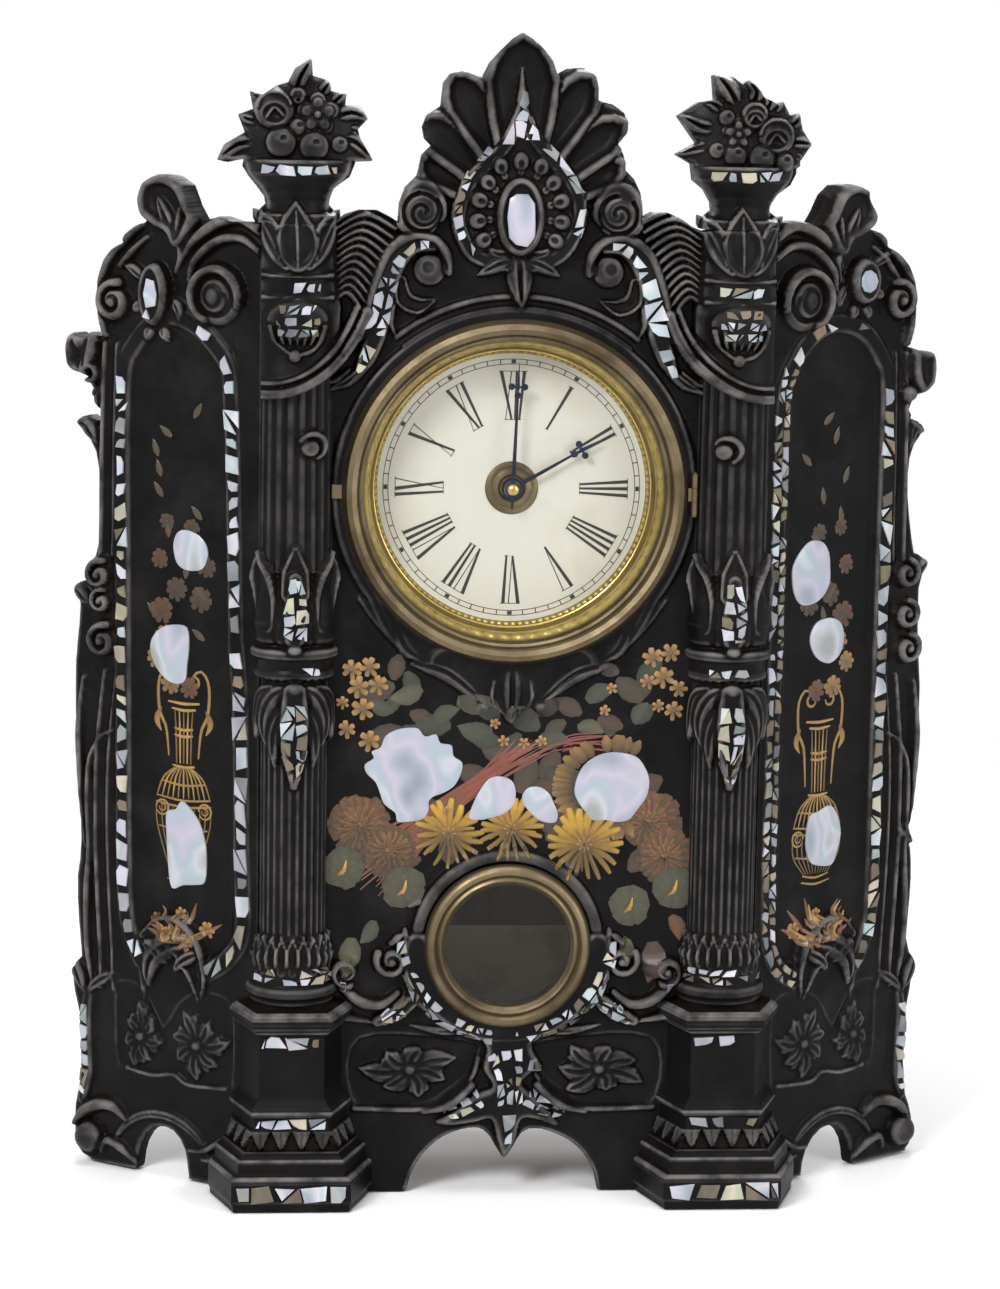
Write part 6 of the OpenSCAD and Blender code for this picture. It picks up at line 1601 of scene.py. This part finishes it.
def paint_field(p):
    """The bouquet under the dial."""
    rng = p.rng
    # a haze of old varnish, then washes of leaves behind everything
    for k in range(64):
        a, b, t = rng.uniform(-64, 64), rng.uniform(152, 242), rng.uniform(0, 6.3)
        if b > 225 and abs(a) < 34 or math.hypot(a, b - DIAL_Z) < 90:
            continue
        size = rng.uniform(9, 20)
        c, d = math.cos(t), math.sin(t)
        tone = ((0.042, 0.031, 0.018), (0.028, 0.030, 0.021), (0.048, 0.027, 0.016))[k % 3]
        p.stroke(field,
                 [(a - size * 0.5 * c, b - size * 0.5 * d), (a, b),
                  (a + size * 0.5 * c, b + size * 0.5 * d)],
                 [0.1 * size, 0.28 * size, 0.34 * size, 0.28 * size, 0.08 * size],
                 tone, tone, 0.06, 9, 0.5)
    for a, b, turn, size, tone in ((-40, 232, 200, 15, MOSS), (-24, 226, 340, 17, MOSS),
                                   (-8, 212, 170, 16, GREEN), (12, 206, 10, 15, GREEN),
                                   (34, 226, 25, 14, GREEN), (30, 214, 350, 12, MOSS),
                                   (-52, 222, 160, 12, GREEN), (56, 216, 60, 11, GREEN),
                                   (-70, 118, 255, 17, MOSS), (-60, 126, 240, 12, GREEN),
                                   (66, 116, 265, 19, (0.07, 0.036, 0.026)), (52, 118, 280, 11, MOSS),
                                   (74, 128, 290, 12, BROWN), (-34, 216, 30, 13, GREEN)):
        c, d = heading(turn)
        p.stroke(field,
                 [(a, b), (a + size * 0.5 * c - 1.5 * d, b + size * 0.5 * d + 1.5 * c),
                  (a + size * c, b + size * d)],
                 [size * 0.12, size * 0.27, size * 0.3, size * 0.2, 0.2],
                 dim(tone, 0.7), tone, 0.16)
        p.line(field, [(a, b), (a + size * 0.5 * c - 1.5 * d, b + size * 0.5 * d + 1.5 * c),
                       (a + size * 0.9 * c, b + size * 0.9 * d)], 0.25, dim(tone, 1.5))
    # long feathered sweep
    for k in range(34):
        f = k / 33
        end = (-66 + 14 * rng.random() - 4 * f, 138 + 24 * f + rng.uniform(-2, 2))
        top = (24 - 26 * rng.random(), 204 + 6 * rng.random())
        mid = (-24 + 6 * f + rng.uniform(-2, 2), 177 + 12 * f + rng.uniform(-2, 2))
        lift = 0.7 + 0.5 * rng.random()
        p.stroke(field, [end, mid, top], [0.3, 0.7, 0.8, 0.5, 0.1], dim(RUST, lift, 0.7), dim(RED, lift),
                 0.14, 12)
    for k in range(9):
        z = 203 + rng.uniform(0, 7)
        p.line(field, [(16 + rng.uniform(0, 12), z), (30, z + 1.5),
                       (38 + rng.uniform(0, 10), z + rng.uniform(0, 3))], 0.35, RED)
    # full roses and ochre leafage at the sides
    for a, b, r in ((-66, 170, 13), (-54, 158, 11), (63, 172, 13), (70, 156, 12)):
        for size, n, tone, lift in ((1.12, 21, BROWN, 0.7), (0.96, 19, RUST, 0.75), (0.8, 17, OCHRE, 0.42),
                                    (0.64, 15, RUST, 0.9), (0.5, 12, OCHRE, 0.5), (0.36, 10, RUST, 1.0),
                                    (0.22, 7, OCHRE, 0.55)):
            p.bloom(field, a + rng.uniform(-1.4, 1.4), b + rng.uniform(-1.4, 1.4), r * size, n,
                    dim(tone, 0.3, lift), dim(tone, lift), 0.2, 0.25, rng.uniform(0, 40), 0.45, 0.35)
        p.dab(field, a, b, r * 0.12, AMBER)
    for k in range(48):
        c, d = heading(rng.uniform(60, 300))
        a, b = 46 + 18 * c, 187 + 16 * d
        s = rng.uniform(0.6, 1)
        p.stroke(field, [(a, b), (a + 4 * c, b + 4 * d), (a + 9 * c, b + 8 * d)], [0.8, 2.4, 2.4, 0.5],
                 dim(BROWN, s, 0.5), dim(OCHRE, s, 0.62))
    # grey-green blooms with gold hearts
    for a, b, r in ((-74, 150, 9.5), (-47, 141, 10), (55, 133, 9.5), (75, 141, 10)):
        p.bloom(field, a, b, r, 9, dim(MOSS, 0.6), dim(MOSS, 0.6), 0.42, 0.05, rng.uniform(0, 50), 0.15)
        p.bloom(field, a, b, r * 0.62, 7, dim(GREEN, 0.6), dim(MOSS, 0.85), 0.4, 0.05, rng.uniform(0, 50),
                0.15)
        p.stroke(field, [(a - 2.4, b - 3.4), (a + 0.4, b - 1), (a + 1.4, b + 3.6)], [0.5, 2.1, 1.3, 0.3],
                 AMBER, YELLOW, 0.3)
        p.dab(field, a + 2, b - 0.6, 1.2, OCHRE)
    # dahlias
    for a, b, r, n in ((-27, 166, 15.5, 18), (1, 168, 15, 18), (34, 161, 17.5, 20)):
        p.bloom(field, a, b, r, n, AMBER, dim(YELLOW, 0.86), 0.12, 0.1, 5, 0.7, 0.14)
        p.bloom(field, a, b, r * 0.74, n - 3, DULL, dim(YELLOW, 0.75), 0.1, 0.1, 14, 0.8, 0.12)
        p.bloom(field, a, b, r * 0.44, 12, DULL, AMBER, 0.14, 0.1, 0, 0.5, 0.3)
        p.bloom(field, a, b, r * 0.2, 8, DULL, OCHRE, 0.3, 0.1, 0, 0.3)
        for k in range(7):
            c, d = heading(51 * k)
            p.dab(field, a + 1.6 * c, b + 1.6 * d, 0.5, GOLD)
    # clusters of small blossoms
    for a, b, r in ((-71, 240, 4.6), (-63, 241, 4.6), (-68, 232, 5), (-59, 233, 4.6), (-66, 222, 5.2),
                    (-73, 213, 4.2), (-63, 208, 5), (-75, 225, 3), (63, 246, 4.6), (71, 248, 4.4),
                    (68, 237, 5), (75, 232, 4), (61, 235, 3.4), (73, 222, 4.4), (66, 224, 3)):
        p.bloom(field, a, b, r, 6, BROWN, OCHRE, 0.3, 0.1, rng.uniform(0, 60), 0.3)
        p.dab(field, a, b, 0.9, AMBER)
    for a, b in ((-7, 216), (42, 222), (45, 232), (-3, 208), (6, 207), (-36, 192), (-28, 176), (14, 208)):
        p.bloom(field, a, b, 2.6, 5, AMBER, OCHRE, 0.34, 0.1, rng.uniform(0, 60), 0.2)


SPRAY_Z = 109


def paint_wing(p, s):
    """An urn with sprays under it and blossoms over it."""
    w = wings[s]
    rng = p.rng
    axis = 40 if s < 0 else 37
    top, waist, foot = (224, 190, 139) if s < 0 else (217, 178, 139)
    # urn: fluted neck, ribbed shoulder, bands and handles
    for k in range(5):
        x = axis + (k - 2) * 1.9
        p.line(w, [(x, waist + 3), (x + (k - 2) * 0.15, (top + waist) / 2), (x + (k - 2) * 0.5, top - 7)],
               0.5, GOLD if k % 2 else DULL)
    for z, half in ((top - 3, 8.5), (top - 6, 6.5), ((top + waist) / 2 + 2, 5), ((top + waist) / 2 - 1, 5),
                    (waist + 2, 6)):
        p.line(w, [(axis - half, z), (axis, z - 0.7), (axis + half, z)], 0.7, GOLD)
    body = 14.5
    for k in range(11):
        f = (k - 5) / 5
        x = axis + f * body
        p.line(w, [(axis + f * 4.6, waist + 1), (axis + f * body * 0.75, waist - 4), (x, waist - 13)], 0.5,
               dim(GOLD, 0.55 + 0.4 * (k % 2)))
        p.line(w, [(x, waist - 16), (axis + f * body * 0.98, waist - 26),
                   (axis + f * body * 0.5, foot + 4)], 0.4, dim(GOLD, 0.4))
    for z, half in ((waist - 6, body * 0.82), (waist - 13, body), (waist - 16, body + 0.5),
                    (waist - 27, body * 0.9), (foot + 3, body * 0.55), (foot, body * 0.6)):
        p.line(w, [(axis - half, z + 0.5), (axis, z - 1), (axis + half, z + 0.5)], 0.55, dim(GOLD, 0.75))
    for side in (-1, 1):
        x = axis + side * (body - 3)
        p.line(w, arc(x, waist - 18, 3.4, 0, 330, 9), 0.55, dim(GOLD, 0.8))
        p.line(w, arc(x, waist - 18, 1.6, 60, 380, 7), 0.45, dim(GOLD, 0.6))
        p.line(w, [(axis + side * 5, top + 9), (axis + side * 9, top + 12), (axis + side * 13.5, top + 6),
                   (axis + side * 13, top - 8), (axis + side * 9.5, top - 15),
                   (axis + side * 8, waist + 6)], 0.8, dim(GOLD, 0.75))
        p.line(w, arc(axis + side * 5.5, top + 6.5, 2.6, 90, 90 - side * 270, 7), 0.7, dim(GOLD, 0.7))
        p.stroke(w, [(axis + side * 12, top - 6), (axis + side * 14.5, top - 12),
                     (axis + side * 12, top - 17)], [0.4, 1.7, 1.4, 0.2], DULL, GOLD)
    # sprays under the urn
    for k in range(17):
        c, d = heading(rng.uniform(20, 160))
        r = rng.uniform(9, 25)
        tip = (axis + r * c * 1.1, SPRAY_Z + r * d)
        tone = (OCHRE, BROWN, RUST)[k % 3]
        p.stroke(w,
                 [(axis + 2 * c, SPRAY_Z + 2),
                  ((axis + tip[0]) / 2 + rng.uniform(-2, 2), (SPRAY_Z + tip[1]) / 2), tip],
                 [0.3, 0.9, 1.3, 0.2], dim(tone, 0.6), tone)
    for k in range(5):
        p.bloom(w, axis + (-13, -4, 6, 14, 1)[k], (118, 112, 115, 120, 124)[k], (4, 4.4, 3.6, 3.4, 3)[k], 6,
                BROWN, (OCHRE, AMBER)[k % 2], 0.32, 0.1, 20 * k, 0.3)
    # dull roses and leaves beside the plaques
    for a, b, r, tone in ((axis + 12, 262, 6.4, RUST), (axis + 4, 272, 5.6, BROWN),
                          (axis - 9, 268, 6, BROWN), (axis + 10, 250, 5.4, OCHRE),
                          (axis + 15, 240, 4.8, OCHRE), (axis - 3, 228, 5, RUST),
                          (axis + 7, 229, 5.2, OCHRE), (axis - 12, 283, 5, BROWN),
                          (axis + 13, 285, 4.6, RUST), (axis - 4, 300, 4.4, BROWN),
                          (axis + 9, 302, 4, BROWN)):
        lift = 0.62 if b < 262 else 0.4
        p.bloom(w, a, b, r, 8, dim(tone, lift, 0.6), dim(tone, lift), 0.3, 0.15, rng.uniform(0, 50), 0.3)
        p.bloom(w, a, b, r * 0.55, 6, dim(tone, lift, 0.5), dim(tone, lift, 0.9), 0.32, 0.1,
                rng.uniform(0, 50), 0.3)
        p.dab(w, a, b, 0.8, dim(AMBER, lift))
    for k in range(12):
        z = 250 + 9 * k
        a = axis + rng.uniform(-15, 15)
        c, d = heading(rng.uniform(30, 150))
        p.stroke(w, [(a, z), (a + 3.5 * c, z + 3.5 * d), (a + 8 * c, z + 8 * d)], [0.5, 1.8, 1.4, 0.2],
                 dim(BROWN, 0.45), dim(MOSS, 0.5))


brush = Brush(11)
paint_field(brush)
dress(brush.mesh("painted_field"), PAINT)
for s, side in SIDES:
    brush = Brush(21 + s)
    paint_wing(brush, s)
    dress(brush.mesh("painted_wing_" + side), PAINT)


# Turned rings
def lathe(name, profile, z, n, shape=None):
    """A closed ring about an axis along Y; shape(angles, k) moves point k of its section outward."""
    t = np.linspace(0, 2 * math.pi, n, endpoint=False)
    pts, m = [], len(profile)
    for k, (r, y) in enumerate(profile):
        add = shape(t, k) if shape else np.zeros((n, 2))
        pts.append(np.stack([(r + add[:, 0]) * np.sin(t), np.full(n, FACE_Y + y) + add[:, 1],
                             z + (r + add[:, 0]) * np.cos(t)], 1))
    faces = [(k * n + i, k * n + (i + 1) % n, ((k + 1) % m) * n + (i + 1) % n, ((k + 1) % m) * n + i)
             for k in range(m) for i in range(n)]
    return new_mesh(name, np.concatenate(pts), faces, 40)


# the sight ring's front as (radius, depth), and how far along it each point lies, from 0 to 1
SIGHT_COUNT = 744
ALONG = np.linspace(0, 1, 30)
SIGHT = np.stack([np.interp(ALONG, (0, 0.2, 0.6, 1), (60, 61, 63.6, 66.6)),
                  np.interp(ALONG, (0, 0.2, 0.6, 1), (16.9, 14, 8.8, 0.5))], 1)


def emboss(angles, k):
    """Beads, a leaf border and two ridges on ring k of the sight ring."""
    if k >= len(ALONG):
        return np.zeros((len(angles), 2))
    d = np.gradient(SIGHT, axis=0)[k]
    nrm = np.array([-abs(d[1]), -abs(d[0])]) / math.hypot(*d)
    v = ALONG[k]
    bead = np.abs(np.sin(angles * 62)) ** 0.8 * math.exp(-(((v - 0.16) / 0.07) ** 2)) * 0.9
    leaf = 0.35 + 0.65 * np.abs(np.sin(angles * 34 + 3 * (v - 0.84))) ** 1.4
    leaf = leaf * math.exp(-(((v - 0.84) / 0.09) ** 2)) * 1.2
    ridge = 0.5 * (math.exp(-(((v - 0.34) / 0.03) ** 2)) + math.exp(-(((v - 0.66) / 0.035) ** 2)))
    return (bead + leaf + ridge)[:, None] * nrm


ring = [tuple(v) for v in SIGHT] + [(67.3, 0.5), (64.6, 9), (63, 16.9)]
obj = lathe("sight_ring_embossed", ring, DIAL_Z, SIGHT_COUNT, emboss)
around = np.linspace(0, 2 * math.pi, SIGHT_COUNT, endpoint=False)
high = np.concatenate([np.abs(emboss(around, k)).sum(1) for k in range(len(ring))])
paint(obj, "ridge_height", np.clip(high * 1.6 - 0.5, -1, 1))
dress(obj, GILT, "sight_ring", slot="gilt")

WINDOW_RING = [(37.5, -4), (37.4, -6.2), (36.4, -8.2), (34.8, -9.3), (33.3, -9.2), (32.4, -8.1),
               (31.9, -7.4), (31.2, -7.9), (30.5, -8.3), (29.8, -7.9), (29.2, -7), (28.5, -6.2), (28, -5.7),
               (27.9, -5.2), (30.1, -5.15), (30.2, 4.8), (30.9, 4.8), (31, -4)]
EYELET = [(5.4, 15.9), (6.2, 15.2), (8.4, 15.5), (9, 16), (9.6, 15.9), (11, 16.1), (11.8, 16.6), (11.9, 17),
          (5.8, 17), (5.8, 18.2), (5.3, 18.2)]
dress(lathe("window_ring_turned", WINDOW_RING, WINDOW_Z - 0.6, 144), BRASS, "window_ring",
      slot="case_brass")
dress(lathe("dial_eyelet_turned", EYELET, DIAL_Z, 96), BRASS, "dial_eyelet", slot="case_brass")


# Dial marks
class Ink:
    """Flat printed marks on the dial, as thin plates."""

    def __init__(self):
        self.points, self.faces = [], []

    def plate(self, outline, lift):
        n, start = len(outline), len(self.points)
        for y in (DIAL_FACE - lift, DIAL_FACE + 0.05):
            self.points += [(x, FACE_Y + y, z) for x, z in outline]
        self.faces.append([start + i for i in range(n)])
        self.faces.append([start + n + i for i in range(n)][::-1])
        self.faces += [(start + i, start + n + i, start + n + (i + 1) % n, start + (i + 1) % n)
                       for i in range(n)]


def polar(x, r, turn):
    """A mark x to the right at radius r, on the dial turned clockwise by turn degrees; it widens outward."""
    t = math.radians(turn)
    x *= r / 41
    return (r * math.sin(t) + x * math.cos(t), DIAL_Z + r * math.cos(t) - x * math.sin(t))


def bar(inner, outer, r0, r1, turn, lift):
    """A bar from radius r0 to r1, given by its left and right edges at each."""
    ink.plate([polar(inner[0], r0, turn), polar(inner[1], r0, turn), polar(outer[1], r1, turn),
               polar(outer[0], r1, turn)], lift)


# each letter: its width, then its bars as (x at the foot, foot, x at the head, head, half thickness)
GLYPHS = {"I": (2.5, [(0, 0, 0, 1, 0.62)]),
          "V": (4.8, [(-1.7, 1, 0, 0, 0.66), (1.7, 1, 0.2, 0, 0.2)]),
          "X": (5.2, [(-1.8, 1, 1.8, 0, 0.66), (1.8, 1, -1.8, 0, 0.2)])}
NUMERALS = ("XII", "I", "II", "III", "IIII", "V", "VI", "VII", "VIII", "IX", "X", "XI")
# the numerals' inner and outer radius, half the thickness of their serifs and of the hairlines
FOOT, HEAD = 30.5, 52
SERIF, HAIR = 0.17, 0.16
ink = Ink()
for hour, text in enumerate(NUMERALS):
    turn = 30 * hour
    x = -sum(GLYPHS[c][0] for c in text) / 2
    for c in text:
        width, bars = GLYPHS[c]
        mid = x + width / 2
        for k, (x0, h0, x1, h1, w) in enumerate(bars):
            bar((mid + x0 - w, mid + x0 + w), (mid + x1 - w, mid + x1 + w), FOOT + (HEAD - FOOT) * h0,
                FOOT + (HEAD - FOOT) * h1, turn, 0.10 + 0.02 * k)
        ends = (x + 0.1, x + width - 0.1)
        for r in (HEAD,) if c == "V" else (HEAD, FOOT):
            bar(ends, ends, r - SERIF, r + SERIF, turn, 0.08)
        x += width
for m in range(60):
    half, r0, r1 = (HAIR, 55.3, 57.3) if m % 5 else (0.75, 55.5, 57.1)
    bar((-half, half), (-half, half), r0, r1, 6 * m, 0.12)
dress(new_mesh("dial_numerals", ink.points, ink.faces, 20), INK)
for name, r in (("dial_track_inner", 55.2), ("dial_track_outer", 57.4)):
    section = [(r - HAIR, 16.9), (r + HAIR, 16.9), (r + HAIR, 17.05), (r - HAIR, 17.05)]
    dress(lathe(name, section, DIAL_Z, 180), INK)


# Studio
def white_background():
    """Soft light on the object, and plain white where the camera, a mirror or glass looks past it."""
    world = bpy.data.worlds.new("studio")
    bpy.context.scene.world = world
    world.use_nodes = True
    tree = world.node_tree
    tree.nodes.clear()
    tree.nodes.new("ShaderNodeOutputWorld").name = "World Output"
    soft = node(tree, "ShaderNodeBackground", Color=(1, 1, 1, 1), Strength=0.4)
    white = node(tree, "ShaderNodeBackground", Color=(1, 1, 1, 1), Strength=1.0)
    path = node(tree, "ShaderNodeLightPath")
    share = path.outputs["Is Camera Ray"]
    for kind in ("Is Transmission Ray", "Is Glossy Ray"):
        more = node(tree, "ShaderNodeMath", operation="MAXIMUM")
        tree.links.new(share, more.inputs[0])
        tree.links.new(path.outputs[kind], more.inputs[1])
        share = more.outputs[0]
    shade(tree, share, soft, white, "World Output")


def lay_floor():
    """A pale floor that fades to white around the object."""
    far, low = 4000, -0.6
    floor = new_mesh("floor", [(-far, -far, low), (far, -far, low), (far, far, low), (-far, far, low)],
                     [(0, 1, 2, 3)])
    mat, tree, bsdf = material("floor")
    settle(bsdf, Base_Color=(0.93, 0.93, 0.93, 1), Roughness=0.9)
    fade = node(tree, "ShaderNodeTexGradient", gradient_type="SPHERICAL")
    size = node(tree, "ShaderNodeMapping", Scale=(0.9, 0.9, 0.9))
    tree.links.new(node(tree, "ShaderNodeTexCoord").outputs["Object"], size.inputs["Vector"])
    tree.links.new(size.outputs["Vector"], fade.inputs["Vector"])
    near = ramp(tree, fade.outputs["Fac"], [(0.0, (0, 0, 0)), (0.6, (1, 1, 1))])
    shade(tree, near, node(tree, "ShaderNodeEmission"), bsdf, "Material Output")
    floor.data.materials.append(mat)


def hang_lamps():
    """Round area lamps aimed at the clock's middle: place and size in millimetres, power in watts."""
    for name, where, size, power in (("key", (-900, -1300, 1300), 700, 28),
                                     ("fill", (1200, -1200, 700), 900, 12),
                                     ("top", (0, -200, 1700), 900, 12),
                                     ("rear", (300, 1500, 1200), 900, 12)):
        lamp = bpy.data.lights.new(name, "AREA")
        lamp.shape = "DISK"
        lamp.size = size * MM
        lamp.energy = power
        obj = bpy.data.objects.new(name, lamp)
        obj.location = Vector(where) * MM
        obj.rotation_mode = "QUATERNION"
        aim = Vector((0, 0, 260)) * MM - obj.location
        obj.rotation_quaternion = aim.to_track_quat("-Z", "Y")
        bpy.context.collection.objects.link(obj)


white_background()
lay_floor()
hang_lamps()
bpy.context.scene.view_settings.view_transform = "Standard"


def dress_nodes():
    """Gives every CAD node that stays in view the material of its slot."""
    slots = {p["node"]: p["material_slot"] for p in frame["record"]["subparts"]}
    for name, obj in frame["nodes"].items():
        mat = SLOTS[slots[name]]
        if obj.material_slots:
            for s in obj.material_slots:
                s.material = mat
        else:
            obj.data.materials.append(mat)


dress_nodes()
